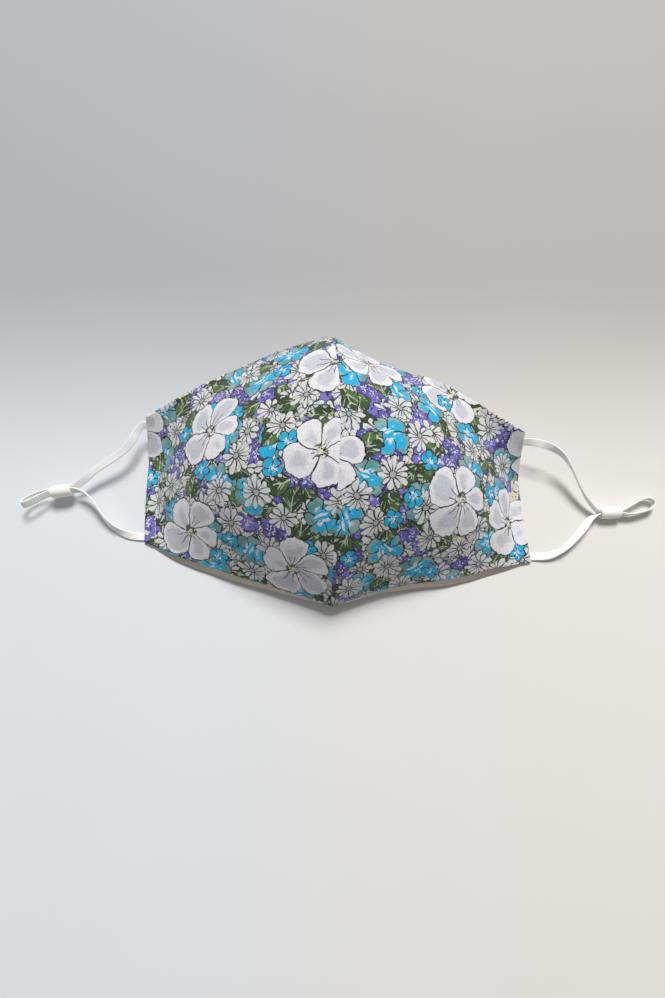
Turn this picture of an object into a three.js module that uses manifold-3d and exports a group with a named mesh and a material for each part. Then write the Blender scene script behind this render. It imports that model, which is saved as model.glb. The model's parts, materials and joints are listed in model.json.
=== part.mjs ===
// A contoured cloth face mask lying face up, with two flat elastic ear loops and their adjusters.
// Millimetres, +Z up, +Y towards the nose, +X towards the right ear loop.
import * as THREE from "three";
import { mergeVertices } from "three/addons/utils/BufferGeometryUtils.js";
import Module from "manifold-3d";

const wasm = await Module();
wasm.setup();

// The mask's own sizes.
const MASK_WIDTH = 194.4; // from side hem to side hem
const SEAM_CHORD = 134.6; // from chin tip to nose tip, seen from above
const PEAK_HEIGHT = 51.5; // top of the centre seam above the table
const SEAM_LEAN = 4.4; // the seam leans this far to the right at mid height
const EDGE_BOW = 5; // how far the nose and chin edges bow out between seam and hem
const CLOTH = 1.4; // outer cloth, inner cloth and the turned edges between them
const SEAM_GAP = 0.3;
const HEM_WIDTH = 6; // flat strip along each side edge
const SIDE_EDGE = 62.5; // length of a side edge along Y
const HEM_ON_TABLE = 0.67; // share of a side edge that lies on the table, from its chin end

// Where each side edge sits along Y, and how far its nose corner curls up off the table.
const SIDES = {
  left: { hand: -1, middle: -3.8, cornerLift: 12 },
  right: { hand: 1, middle: -13.8, cornerLift: 15 },
};

// The centre seam from chin to nose: along is a share of SEAM_CHORD, height of PEAK_HEIGHT
// and lean of SEAM_LEAN.
const SEAM_ROWS = [
  { along: 0.0, height: 0.11, lean: 0.0 },
  { along: 0.082, height: 0.41, lean: 0.1 },
  { along: 0.18, height: 0.68, lean: 0.3 },
  { along: 0.305, height: 0.89, lean: 0.55 },
  { along: 0.44, height: 0.985, lean: 0.8 },
  { along: 0.59, height: 1.0, lean: 1.0 },
  { along: 0.725, height: 0.94, lean: 0.85 },
  { along: 0.842, height: 0.83, lean: 0.55 },
  { along: 0.93, height: 0.66, lean: 0.3 },
  { along: 1.0, height: 0.44, lean: 0.1 },
];

// How each panel's edges bow, in even steps. nose and chin run from seam to hem as shares of
// EDGE_BOW, and hem runs from chin to nose as shares of half MASK_WIDTH.
const BOWS = {
  left: {
    nose: [0, 0.7, 1.0, 1.0, 0.8, 0],
    chin: [0, 0.1, 0.3, 0.5, 0.5, 0],
    hem: [0.985, 0.996, 1.0, 0.998, 0.99],
  },
  right: {
    nose: [0, -0.25, 0.3, 1.0, 0.7, 0],
    chin: [0, -0.4, -0.2, 0.2, 0.1, 0],
    hem: [1.0, 0.985, 0.974, 0.97, 0.97],
  },
};

// How the height falls from seam to hem: a straight share, and the rest by a power.
const MIDDLE_FALL = { straight: 0.3, power: 2.6 };
const EDGE_FALL = { straight: 0.86, power: 2 };
const FULLNESS = 0.7; // how soon the height leaves the edges' fall for the middle's

const DOME_COLUMNS = 20;
const HEM_COLUMNS = 2;
const PANEL_ROWS = 24;
const HEM_START = 1 - (2 * HEM_WIDTH) / MASK_WIDTH; // share of the way from seam to side edge

// The ear loops and their adjusters.
const STRAP_WIDTH = 3.8;
const STRAP_THICKNESS = 0.8;
const STRAP_CHAMFER = 0.25;
const STRAP_STEPS = 78;
const STRAP_END_GAP = 0.3;
const STRAP_LEAD = 1.6; // straight start of a strap beside the hem
const CORNER_INSET = 3.2; // from a corner of the side hem to the middle of the strap
const HEM_STEP = 0.01; // share of the hem over which its slope is read
const STRAND_GAP = 0.4; // between the two strands in an adjuster
const ADJUSTER_LENGTH = 10.5;
const ADJUSTER_RADIUS = 3.2;
const ADJUSTER_END_RADIUS = 2.8;
const SLOT_CLEARANCE = 0.3;

// Each loop's route by hand. upper runs from the nose corner to the adjuster and lower from the
// adjuster to the chin corner: x, y, z and how far the strap stands up from flat, in degrees. A
// strap's sewn ends lie along the slope of the hem.
// tail is the loop past the adjuster, in the adjuster's own frame: along its axis from its outer
// end, across towards the upper strand, and rise.
const LOOPS = {
  left: {
    adjuster: { x: -138.0, y: -9.4, z: 6.0, heading: 188, lean: 40 },
    upper: [
      { x: -100.8, y: 21.0, z: 10.9, stand: -45 },
      { x: -103.4, y: 14.6, z: 11.2, stand: -40 },
      { x: -107.8, y: 9.4, z: 10.9, stand: -25 },
      { x: -113.6, y: 5.4, z: 10.1, stand: -12 },
      { x: -120.2, y: 1.2, z: 8.9, stand: -12 },
      { x: -127.0, y: -4.2, z: 7.3, stand: -32 },
    ],
    tail: [
      { along: 3.8, across: 0.8, rise: -0.2 },
      { along: 8.2, across: 0.0, rise: -0.8 },
      { along: 12.0, across: -1.4, rise: -1.6 },
      { along: 13.8, across: -3.6, rise: -2.0 },
      { along: 12.2, across: -5.4, rise: -1.8 },
      { along: 8.2, across: -4.4, rise: -1.0 },
      { along: 3.8, across: -2.2, rise: -0.3 },
    ],
    lower: [
      { x: -127.2, y: -9.8, z: 6.2, stand: 84 },
      { x: -121.6, y: -14.4, z: 5.6, stand: 84 },
      { x: -116.6, y: -21.4, z: 4.4, stand: 80 },
      { x: -111.0, y: -27.4, z: 2.9, stand: 64 },
      { x: -104.4, y: -30.9, z: 1.4, stand: 24 },
    ],
  },
  right: {
    adjuster: { x: 138.1, y: -20.0, z: 3.3, heading: 2, lean: 0 },
    upper: [
      { x: 101.8, y: 13.2, z: 13.8, stand: 25 },
      { x: 107.0, y: 11.4, z: 13.7, stand: 40 },
      { x: 112.2, y: 8.4, z: 12.9, stand: 75 },
      { x: 116.2, y: 4.2, z: 11.4, stand: 100 },
      { x: 119.6, y: -1.4, z: 9.6, stand: 112 },
      { x: 123.0, y: -8.0, z: 7.4, stand: 112 },
      { x: 127.4, y: -14.6, z: 5.1, stand: 98 },
    ],
    tail: [
      { along: 4.0, across: 2.2, rise: 0 },
      { along: 9.8, across: 5.2, rise: -0.3 },
      { along: 15.4, across: 6.8, rise: -0.6 },
      { along: 18.4, across: 5.0, rise: -0.8 },
      { along: 16.8, across: 1.8, rise: -0.8 },
      { along: 10.6, across: -0.4, rise: -0.5 },
      { along: 4.0, across: -1.2, rise: -0.2 },
    ],
    lower: [
      { x: 128.6, y: -22.6, z: 3.8, stand: 62 },
      { x: 123.4, y: -28.4, z: 3.8, stand: 28 },
      { x: 118.0, y: -34.0, z: 3.2, stand: 32 },
      { x: 112.4, y: -38.8, z: 2.2, stand: 48 },
      { x: 105.6, y: -41.6, z: 1.2, stand: 14 },
    ],
  },
};

const PRINTED_CLOTH = new THREE.MeshStandardMaterial({
  color: 0xa9b7c4,
  roughness: 0.9,
  metalness: 0,
});
const ELASTIC = new THREE.MeshStandardMaterial({
  color: 0xf2f1ee,
  roughness: 0.85,
  metalness: 0,
});
const SILICONE = new THREE.MeshStandardMaterial({
  color: 0xf4f2ea,
  roughness: 0.45,
  metalness: 0,
});

// A smooth curve through evenly spaced values, at t from 0 to 1.
function smoothThrough(values, t) {
  const last = values.length - 1;
  const place = THREE.MathUtils.clamp(t, 0, 1) * last;
  const i = Math.min(Math.floor(place), last - 1);
  const f = place - i;
  const from = values[i];
  const to = values[i + 1];
  const before = i > 0 ? values[i - 1] : 2 * from - to;
  const after = i + 2 <= last ? values[i + 2] : 2 * to - from;
  const bend = 2 * before - 5 * from + 4 * to - after;
  const twist = 3 * from - before - 3 * to + after;
  return from + 0.5 * f * (to - before + f * (bend + f * twist));
}

function seamPoint(v) {
  const column = (name) => SEAM_ROWS.map((row) => row[name]);
  return new THREE.Vector3(
    (smoothThrough(column("lean"), v) - 0.5) * SEAM_LEAN,
    (smoothThrough(column("along"), v) - 0.5) * SEAM_CHORD,
    smoothThrough(column("height"), v) * PEAK_HEIGHT,
  );
}

// The underside of a side hem: flat on the table, then curling up to its nose corner.
function hemPoint(side, v) {
  const { hand, middle, cornerLift } = SIDES[side];
  const curl = Math.max(0, (v - HEM_ON_TABLE) / (1 - HEM_ON_TABLE));
  return new THREE.Vector3(
    (hand * MASK_WIDTH * smoothThrough(BOWS[side].hem, v)) / 2,
    middle + (v - 0.5) * SIDE_EDGE,
    cornerLift * curl ** 1.3,
  );
}

function fallShare({ straight, power }, s) {
  return 1 - straight * s - (1 - straight) * s ** power;
}

// The outer face of a panel: u runs from the centre seam to the side edge, v from chin to nose.
function outerPoint(side, u, v) {
  const seam = seamPoint(v);
  seam.x += (SIDES[side].hand * SEAM_GAP) / 2;
  const hem = hemPoint(side, v);
  const point = seam.clone().lerp(hem, u);
  point.y += EDGE_BOW * smoothThrough(BOWS[side].nose, u) * v ** 4;
  point.y -= EDGE_BOW * smoothThrough(BOWS[side].chin, u) * (1 - v) ** 4;
  const hemTop = hem.z + CLOTH;
  const s = Math.min(1, u / HEM_START);
  const middle = Math.sin(Math.PI * THREE.MathUtils.clamp(v, 0, 1)) ** FULLNESS;
  const edgeFall = fallShare(EDGE_FALL, s);
  const fall = edgeFall + (fallShare(MIDDLE_FALL, s) - edgeFall) * middle;
  point.z = s < 1 ? hemTop + (seam.z - hemTop) * fall : hemTop;
  return point;
}

// The inner face, one cloth thickness in from the outer one. Along the seam and the side edge it
// stays in the plane of that edge.
function innerPoint(side, u, v) {
  const step = 1e-3;
  const here = outerPoint(side, u, v);
  const acrossFrom = Math.min(u, 1 - step);
  const across = outerPoint(side, acrossFrom + step, v).sub(outerPoint(side, acrossFrom, v));
  const alongFrom = Math.min(v, 1 - step);
  const along = outerPoint(side, u, alongFrom + step).sub(outerPoint(side, u, alongFrom));
  const outward = across.cross(along).multiplyScalar(SIDES[side].hand).normalize();
  if (u === 0 || u === 1) outward.setX(0).normalize();
  return here.addScaledVector(outward, -CLOTH);
}

function closed(geometry) {
  geometry.deleteAttribute("normal");
  geometry.deleteAttribute("uv");
  return mergeVertices(geometry, 1e-4);
}

// A panel is a thin box whose top and bottom faces are laid onto the outer and inner faces.
function panelGeometry(side) {
  const hand = SIDES[side].hand;
  const columns = DOME_COLUMNS + HEM_COLUMNS;
  const geometry = closed(new THREE.BoxGeometry(1, 1, 1, columns, PANEL_ROWS, 1));
  const position = geometry.attributes.position;
  for (let i = 0; i < position.count; i++) {
    const column = Math.round((position.getX(i) * hand + 0.5) * columns);
    const fromSeam =
      column <= DOME_COLUMNS
        ? (column / DOME_COLUMNS) * HEM_START
        : HEM_START + ((column - DOME_COLUMNS) / HEM_COLUMNS) * (1 - HEM_START);
    const fromChin = position.getY(i) + 0.5;
    const facePoint = position.getZ(i) > 0 ? outerPoint : innerPoint;
    const { x, y, z } = facePoint(side, fromSeam, fromChin);
    position.setXYZ(i, x, y, z);
  }
  geometry.computeVertexNormals();
  return geometry;
}

function strapSection() {
  const w = STRAP_WIDTH / 2;
  const h = STRAP_THICKNESS / 2;
  const c = STRAP_CHAMFER;
  return new THREE.Shape([
    new THREE.Vector2(w, h - c),
    new THREE.Vector2(w - c, h),
    new THREE.Vector2(c - w, h),
    new THREE.Vector2(-w, h - c),
    new THREE.Vector2(-w, c - h),
    new THREE.Vector2(c - w, -h),
    new THREE.Vector2(w - c, -h),
    new THREE.Vector2(w, c - h),
  ]);
}

// The straight start of a strap, butted against the side of the hem.
function strapEnds(side, fromSideEnd) {
  const { hand } = SIDES[side];
  const exit = hemPoint(side, fromSideEnd);
  exit.x += hand * STRAP_END_GAP;
  exit.z += CLOTH / 2;
  const out = (share) => exit.clone().setX(exit.x + hand * share * STRAP_LEAD);
  return [exit, out(0.5), out(1)];
}

// The route of one loop: the middle of the strap, and the direction its width takes.
function strapRoute(side, adjuster) {
  const { upper, tail, lower } = LOOPS[side];
  const level = new THREE.Vector3(0, 0, 1);
  const strandOffset = (STRAP_THICKNESS + STRAND_GAP) / 2;
  const width = new THREE.Vector3(0, 0, 1).transformDirection(adjuster.matrixWorld);
  const inset = CORNER_INSET / SIDE_EDGE;
  const turnSide = -SIDES[side].hand;

  const inAdjuster = ({ along, across, rise }) => ({
    centre: adjuster.localToWorld(
      new THREE.Vector3(across * turnSide, ADJUSTER_LENGTH / 2 + along, rise),
    ),
    width,
  });
  const strand = (across) =>
    [1, 0.5, 0].map((back) => inAdjuster({ along: -back * ADJUSTER_LENGTH, across, rise: 0 }));
  const free = ({ x, y, z, stand }) => ({ centre: new THREE.Vector3(x, y, z), stand });
  const sewn = (share) => {
    const hem = hemPoint(side, share + HEM_STEP).sub(hemPoint(side, share - HEM_STEP));
    const alongHem = hem.setX(0).normalize();
    return strapEnds(side, share).map((centre) => ({ centre, width: alongHem }));
  };

  const rows = [
    ...sewn(1 - inset),
    ...upper.map(free),
    ...strand(strandOffset),
    ...tail.map(inAdjuster),
    ...strand(-strandOffset).reverse(),
    ...lower.map(free),
    ...sewn(inset).reverse(),
  ];
  rows.forEach((row, i) => {
    if (row.width) return;
    const next = rows[Math.min(i + 1, rows.length - 1)].centre;
    const last = rows[Math.max(i - 1, 0)].centre;
    const flat = level.clone().cross(next.clone().sub(last)).normalize();
    const angle = THREE.MathUtils.degToRad(row.stand);
    row.width = flat.multiplyScalar(Math.cos(angle)).addScaledVector(level, Math.sin(angle));
  });
  rows.forEach((row, i) => {
    const before = i > 0 ? rows[i - 1].width : row.width;
    if (row.width.dot(before) < 0) row.width = row.width.clone().negate();
  });
  return {
    middle: new THREE.CatmullRomCurve3(rows.map((row) => row.centre)),
    widths: new THREE.CatmullRomCurve3(rows.map((row) => row.width)),
  };
}

// The strap is a straight extrusion whose vertices are laid along the route.
function strapGeometry(side, adjuster) {
  const { middle, widths } = strapRoute(side, adjuster);
  middle.arcLengthDivisions = 600;
  const geometry = closed(
    new THREE.ExtrudeGeometry(strapSection(), {
      depth: 1,
      steps: STRAP_STEPS,
      bevelEnabled: false,
    }),
  );
  const position = geometry.attributes.position;
  for (let i = 0; i < position.count; i++) {
    const t = middle.getUtoTmapping(position.getZ(i));
    const forward = middle.getTangent(t);
    const width = widths.getPoint(t);
    width.addScaledVector(forward, -width.dot(forward)).normalize();
    const face = forward.clone().cross(width);
    const point = middle
      .getPoint(t)
      .addScaledVector(width, position.getX(i))
      .addScaledVector(face, position.getY(i));
    position.setXYZ(i, point.x, point.y, point.z);
  }
  geometry.computeVertexNormals();
  return geometry;
}

function toSolid(geometry) {
  return new wasm.Manifold(
    new wasm.Mesh({
      numProp: 3,
      vertProperties: geometry.attributes.position.array,
      triVerts: new Uint32Array(geometry.index.array),
    }),
  );
}

function toGeometry(solid) {
  const mesh = solid.getMesh();
  const geometry = new THREE.BufferGeometry();
  geometry.setAttribute("position", new THREE.BufferAttribute(mesh.vertProperties, 3));
  geometry.setIndex(new THREE.BufferAttribute(mesh.triVerts, 1));
  geometry.computeVertexNormals();
  return geometry;
}

// A barrel along Y with a slot through it for the two strands.
function adjusterGeometry() {
  const rings = 6;
  const half = ADJUSTER_LENGTH / 2;
  const profile = [new THREE.Vector2(0, -half)];
  for (let i = 0; i <= rings; i++) {
    const share = (2 * i) / rings - 1;
    const bulge = (ADJUSTER_RADIUS - ADJUSTER_END_RADIUS) * (1 - share ** 2);
    profile.push(new THREE.Vector2(ADJUSTER_END_RADIUS + bulge, share * half));
  }
  profile.push(new THREE.Vector2(0, half));
  const barrel = toSolid(closed(new THREE.LatheGeometry(profile, 16)));
  const slot = toSolid(
    closed(
      new THREE.BoxGeometry(
        2 * STRAP_THICKNESS + STRAND_GAP + 2 * SLOT_CLEARANCE,
        ADJUSTER_LENGTH + 2,
        STRAP_WIDTH + 2 * SLOT_CLEARANCE,
      ),
    ),
  );
  return toGeometry(barrel.subtract(slot));
}

function named(name, geometry, material) {
  const mesh = new THREE.Mesh(geometry, material);
  mesh.name = name;
  return mesh;
}

const mask = new THREE.Group();
mask.name = "cloth_face_mask";

for (const side of ["left", "right"]) {
  mask.add(named(`panel_${side}`, panelGeometry(side), PRINTED_CLOTH));

  const { x, y, z, heading, lean } = LOOPS[side].adjuster;
  const adjuster = named(`adjuster_${side}`, adjusterGeometry(), SILICONE);
  adjuster.rotation.y = THREE.MathUtils.degToRad(lean);
  const holder = new THREE.Group();
  holder.position.set(x, y, z);
  holder.rotation.z = THREE.MathUtils.degToRad(heading - 90);
  holder.add(adjuster);
  holder.updateMatrixWorld(true);
  mask.add(holder);

  mask.add(named(`ear_loop_${side}`, strapGeometry(side, adjuster), ELASTIC));
}

export default mask;
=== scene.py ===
"""A contoured cloth face mask lying face up: two printed panels, flat ear loops and their adjusters.

Metres, +Z up, +Y towards the nose, +X towards the right ear loop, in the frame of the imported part.
"""

import json
import math

import bpy
import numpy as np
from bpy.props import FloatProperty, FloatVectorProperty, IntProperty, PointerProperty
from mathutils import Matrix, Vector, noise

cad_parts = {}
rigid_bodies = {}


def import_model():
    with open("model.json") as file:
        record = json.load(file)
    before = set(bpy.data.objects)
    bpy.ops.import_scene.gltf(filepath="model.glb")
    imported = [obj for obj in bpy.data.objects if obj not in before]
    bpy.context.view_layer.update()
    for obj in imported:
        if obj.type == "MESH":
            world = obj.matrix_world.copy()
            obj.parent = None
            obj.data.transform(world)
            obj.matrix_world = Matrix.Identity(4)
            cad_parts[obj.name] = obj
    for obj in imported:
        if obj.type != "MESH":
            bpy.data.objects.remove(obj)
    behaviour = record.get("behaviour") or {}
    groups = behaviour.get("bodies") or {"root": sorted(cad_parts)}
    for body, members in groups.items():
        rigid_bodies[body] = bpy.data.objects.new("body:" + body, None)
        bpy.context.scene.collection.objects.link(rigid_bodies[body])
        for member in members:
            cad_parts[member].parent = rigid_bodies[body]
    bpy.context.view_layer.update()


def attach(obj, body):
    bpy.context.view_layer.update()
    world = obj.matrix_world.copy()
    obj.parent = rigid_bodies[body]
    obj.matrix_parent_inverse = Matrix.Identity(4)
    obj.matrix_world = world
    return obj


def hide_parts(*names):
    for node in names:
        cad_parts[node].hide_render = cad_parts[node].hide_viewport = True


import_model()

bl_info = {
    "name": "Cloth Face Mask",
    "version": (1, 0, 0),
    "blender": (4, 5, 0),
    "location": "View3D > Sidebar > Face Mask",
    "description": "Makes a printed cloth face mask with adjustable ear loops",
    "category": "Object",
}

BODY = "root"
MM = 0.001

# The panels' shape, as in the part's source.
MASK_WIDTH = 194.4 * MM
SEAM_CHORD = 134.6 * MM
PEAK_HEIGHT = 51.5 * MM
SEAM_LEAN = 4.4 * MM
EDGE_BOW = 5 * MM
HEM_WIDTH = 6 * MM
SIDE_EDGE = 62.5 * MM
HEM_ON_TABLE = 0.67
HEM_START = 1 - 2 * HEM_WIDTH / MASK_WIDTH

HANDS = {"left": -1, "right": 1}
HEM_MIDDLE = {"left": -3.8 * MM, "right": -13.8 * MM}
CORNER_LIFT = {"left": 12 * MM, "right": 15 * MM}

# The centre seam in even steps from chin to nose, as shares of chord, height and lean.
SEAM_ALONG = [0, 0.082, 0.18, 0.305, 0.44, 0.59, 0.725, 0.842, 0.93, 1]
SEAM_HEIGHT = [0.11, 0.41, 0.68, 0.89, 0.985, 1, 0.94, 0.83, 0.66, 0.44]
SEAM_SWAY = [0, 0.1, 0.3, 0.55, 0.8, 1, 0.85, 0.55, 0.3, 0.1]

# How the edges bow: nose and chin from seam to hem, hem from chin to nose.
NOSE_BOW = {"left": [0, 0.7, 1, 1, 0.8, 0], "right": [0, -0.25, 0.3, 1, 0.7, 0]}
CHIN_BOW = {"left": [0, 0.1, 0.3, 0.5, 0.5, 0], "right": [0, -0.4, -0.2, 0.2, 0.1, 0]}
HEM_BOW = {"left": [0.985, 0.996, 1, 0.998, 0.99], "right": [1, 0.985, 0.974, 0.97, 0.97]}

MIDDLE_STRAIGHT, MIDDLE_POWER = 0.3, 2.6
EDGE_STRAIGHT, EDGE_POWER = 0.86, 2
FULLNESS = 0.7

# The ear loops' routes, in millimetres and degrees, as in the part's source. upper runs from the
# nose corner to the adjuster and lower from the adjuster to the chin corner: x, y, z, stand.
# tail is along, across and rise in the adjuster's own frame, past its outer end. A strap's sewn
# ends lie along the slope of the hem.
CORNER_INSET = 3.2 * MM
STRAP_END_GAP = 0.3 * MM
STRAP_LEAD = 1.6 * MM
STRAND_GAP = 0.4 * MM
HEM_STEP = 0.01
ADJUSTERS = {
    "left": {"place": (-138.0, -9.4, 6.0), "heading": 188, "lean": 40},
    "right": {"place": (138.1, -20.0, 3.3), "heading": 2, "lean": 0},
}
UPPER = {
    "left": [
        (-100.8, 21.0, 10.9, -45),
        (-103.4, 14.6, 11.2, -40),
        (-107.8, 9.4, 10.9, -25),
        (-113.6, 5.4, 10.1, -12),
        (-120.2, 1.2, 8.9, -12),
        (-127.0, -4.2, 7.3, -32),
    ],
    "right": [
        (101.8, 13.2, 13.8, 25),
        (107.0, 11.4, 13.7, 40),
        (112.2, 8.4, 12.9, 75),
        (116.2, 4.2, 11.4, 100),
        (119.6, -1.4, 9.6, 112),
        (123.0, -8.0, 7.4, 112),
        (127.4, -14.6, 5.1, 98),
    ],
}
TAIL = {
    "left": [
        (3.8, 0.8, -0.2),
        (8.2, 0.0, -0.8),
        (12.0, -1.4, -1.6),
        (13.8, -3.6, -2.0),
        (12.2, -5.4, -1.8),
        (8.2, -4.4, -1.0),
        (3.8, -2.2, -0.3),
    ],
    "right": [
        (4.0, 2.2, 0),
        (9.8, 5.2, -0.3),
        (15.4, 6.8, -0.6),
        (18.4, 5.0, -0.8),
        (16.8, 1.8, -0.8),
        (10.6, -0.4, -0.5),
        (4.0, -1.2, -0.2),
    ],
}
LOWER = {
    "left": [
        (-127.2, -9.8, 6.2, 84),
        (-121.6, -14.4, 5.6, 84),
        (-116.6, -21.4, 4.4, 80),
        (-111.0, -27.4, 2.9, 64),
        (-104.4, -30.9, 1.4, 24),
    ],
    "right": [
        (128.6, -22.6, 3.8, 62),
        (123.4, -28.4, 3.8, 28),
        (118.0, -34.0, 3.2, 32),
        (112.4, -38.8, 2.2, 48),
        (105.6, -41.6, 1.2, 14),
    ],
}

# The photograph's view.
VIEW_TARGET = Vector((-1.5, -12.1, 0)) * MM
VIEW_DISTANCE = 262 * MM
VIEW_ELEVATION = math.radians(76)
SENSOR = 36
LENS = 18.4


def paint(red, green, blue):
    """A colour given in the 0 to 255 steps of a screen, as the linear colour that shaders use."""
    steps = [value / 255 for value in (red, green, blue)]
    return [s / 12.92 if s <= 0.04045 else ((s + 0.055) / 1.055) ** 2.4 for s in steps]


def colour_property(name, description, red, green, blue):
    return FloatVectorProperty(
        name=name,
        description=description,
        subtype="COLOR",
        size=3,
        min=0,
        max=1,
        default=paint(red, green, blue),
    )


def length_property(name, description, default):
    return FloatProperty(
        name=name, description=description, subtype="DISTANCE", unit="LENGTH", default=default, min=0
    )


class PanelSettings(bpy.types.PropertyGroup):
    cloth: length_property("Cloth", "Thickness of both layers together", 1.4 * MM)
    hem_softness: length_property("Hem Softness", "How far the dome rounds into its hem", 1.6 * MM)
    groove: length_property("Seam Groove", "Depth of the fold beside the centre seam", 0.55 * MM)
    pucker: length_property("Pucker", "Height of the small gathers beside the seam", 0.3 * MM)
    ripple: length_property("Ripple", "Height of the slow waves in the cloth", 0.7 * MM)
    band: length_property("Chin Band", "How far the facing shows under the chin edge", 4.4 * MM)
    columns: IntProperty(name="Columns", description="Faces from seam to hem", default=112, min=20, max=150)
    rows: IntProperty(name="Rows", description="Faces from chin to nose", default=164, min=20, max=200)


class PrintSettings(bpy.types.PropertyGroup):
    petal: colour_property("Petals", "White petals of the large blossoms", 221, 219, 221)
    petal_shade: colour_property("Petal Shade", "Wash inside the white petals", 188, 188, 197)
    daisy: colour_property("Daisies", "Off-white daisy petals", 207, 206, 203)
    cyan: colour_property("Cyan", "Bright florets and patches", 0, 166, 212)
    teal: colour_property("Teal", "Grey-green blossoms", 92, 142, 144)
    pale_teal: colour_property("Pale Teal", "Paler rims of the grey-green blossoms", 142, 172, 168)
    violet: colour_property("Violet", "Lighter violet florets", 112, 104, 184)
    indigo: colour_property("Indigo", "Deeper violet florets", 68, 60, 142)
    leaf: colour_property("Leaf", "Lighter half of a leaf", 74, 104, 46)
    leaf_dark: colour_property("Dark Leaf", "Darker half of a leaf", 38, 62, 26)
    pale_leaf: colour_property("Leaf Strokes", "Pale strokes on the leaves", 194, 202, 182)
    cream: colour_property("Cream", "Specks between the flowers", 206, 198, 162)
    sage: colour_property("Sage", "Grey-green ground and daisy hearts", 146, 156, 142)
    ink: colour_property("Ink", "Fine outlines", 30, 29, 33)
    lining: colour_property("Lining", "Plain inner cloth", 238, 237, 233)
    # The facing's beige, darker than the lining, is partly the strip's own colour and partly painted shade under the
    # chin edge
    facing: colour_property("Facing", "Strip that faces the inside of the chin edge", 204, 192, 176)
    pen: FloatProperty(name="Pen", description="Outline width in millimetres", default=0.58, min=0, max=2)
    thread: FloatProperty(name="Thread", description="Weave pitch in millimetres", default=0.36, min=0.1, max=2)


class EarLoopSettings(bpy.types.PropertyGroup):
    width: length_property("Width", "Width of the flat elastic", 3.8 * MM)
    thickness: length_property("Thickness", "Thickness of the flat elastic", 0.8 * MM)
    ribs: IntProperty(name="Ribs", description="Knitted ribs across the elastic", default=6, min=1, max=20)
    elastic: colour_property("Elastic", "White knitted elastic", 243, 242, 240)


class AdjusterSettings(bpy.types.PropertyGroup):
    length: length_property("Length", "Length of the barrel", 10.5 * MM)
    radius: length_property("Radius", "Radius at the middle of the barrel", 3.2 * MM)
    end_radius: length_property("End Radius", "Radius at the ends of the barrel", 2.8 * MM)
    clearance: length_property("Clearance", "Room round the two strands in the slot", 0.3 * MM)
    silicone: colour_property("Silicone", "Creamy white silicone", 242, 239, 230)


class StitchSettings(bpy.types.PropertyGroup):
    length: length_property("Stitch", "Length of one stitch", 2.5 * MM)
    gap: length_property("Gap", "Space between two stitches", 0.45 * MM)
    thread: length_property("Thread", "Thickness of the sewing thread", 0.34 * MM)
    colour: colour_property("Colour", "Pale sewing thread", 204, 208, 214)


class StageSettings(bpy.types.PropertyGroup):
    floor: colour_property("Floor", "Pale table top near the chin", 220, 218, 215)
    # Colour of the table top past the nose, greyer as painted shade: the light's fall-off put into the floor
    shaded_far_floor: colour_property("Far Floor", "Greyer table top past the nose", 165, 163, 162)
    cool: colour_property("Cool Side", "Tint of the table top on the left", 243, 248, 255)
    warm: colour_property("Warm Side", "Tint of the table top on the right", 249, 247, 244)
    sky: colour_property("Sky", "Soft light from all round", 243, 243, 244)
    sky_strength: FloatProperty(name="Sky Strength", description="Fill light", default=0.34, min=0)
    window: FloatProperty(name="Window", description="Power of the window light, in watts", default=80, min=0)


SETTINGS = {
    "mask_panels": PanelSettings,
    "mask_print": PrintSettings,
    "mask_loops": EarLoopSettings,
    "mask_adjusters": AdjusterSettings,
    "mask_stitches": StitchSettings,
    "mask_stage": StageSettings,
}


# Shape helpers


def smooth_through(values, t):
    """A smooth curve through evenly spaced values, at each t from 0 to 1."""
    values = np.asarray(values, float)
    last = len(values) - 1
    place = np.clip(t, 0, 1) * last
    i = np.minimum(np.floor(place).astype(int), last - 1)
    f = place - i
    start = values[i]
    end = values[i + 1]
    before = np.where(i > 0, values[i - 1], 2 * start - end)
    after = np.where(i + 2 <= last, values[np.minimum(i + 2, last)], 2 * end - start)
    bend = 2 * before - 5 * start + 4 * end - after
    twist = 3 * start - before - 3 * end + after
    return start + 0.5 * f * (end - before + f * (bend + f * twist))


def unit(vectors):
    return vectors / np.maximum(np.linalg.norm(vectors, axis=-1, keepdims=True), 1e-12)


def smooth_step(low, high, value):
    t = np.clip((value - low) / (high - low), 0, 1)
    return t * t * (3 - 2 * t)


def seam_point(v):
    x = (smooth_through(SEAM_SWAY, v) - 0.5) * SEAM_LEAN
    y = (smooth_through(SEAM_ALONG, v) - 0.5) * SEAM_CHORD
    z = smooth_through(SEAM_HEIGHT, v) * PEAK_HEIGHT
    return np.stack([x, y, z], -1)


def hem_point(side, v):
    """The underside of a side hem: flat on the table, then curling up to its nose corner."""
    curl = np.maximum(0, (v - HEM_ON_TABLE) / (1 - HEM_ON_TABLE))
    x = HANDS[side] * MASK_WIDTH * smooth_through(HEM_BOW[side], v) / 2
    y = HEM_MIDDLE[side] + (v - 0.5) * SIDE_EDGE
    z = CORNER_LIFT[side] * curl**1.3
    return np.stack([x, y, z], -1)


def fall_share(straight, power, s):
    return 1 - straight * s - (1 - straight) * s**power


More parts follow.
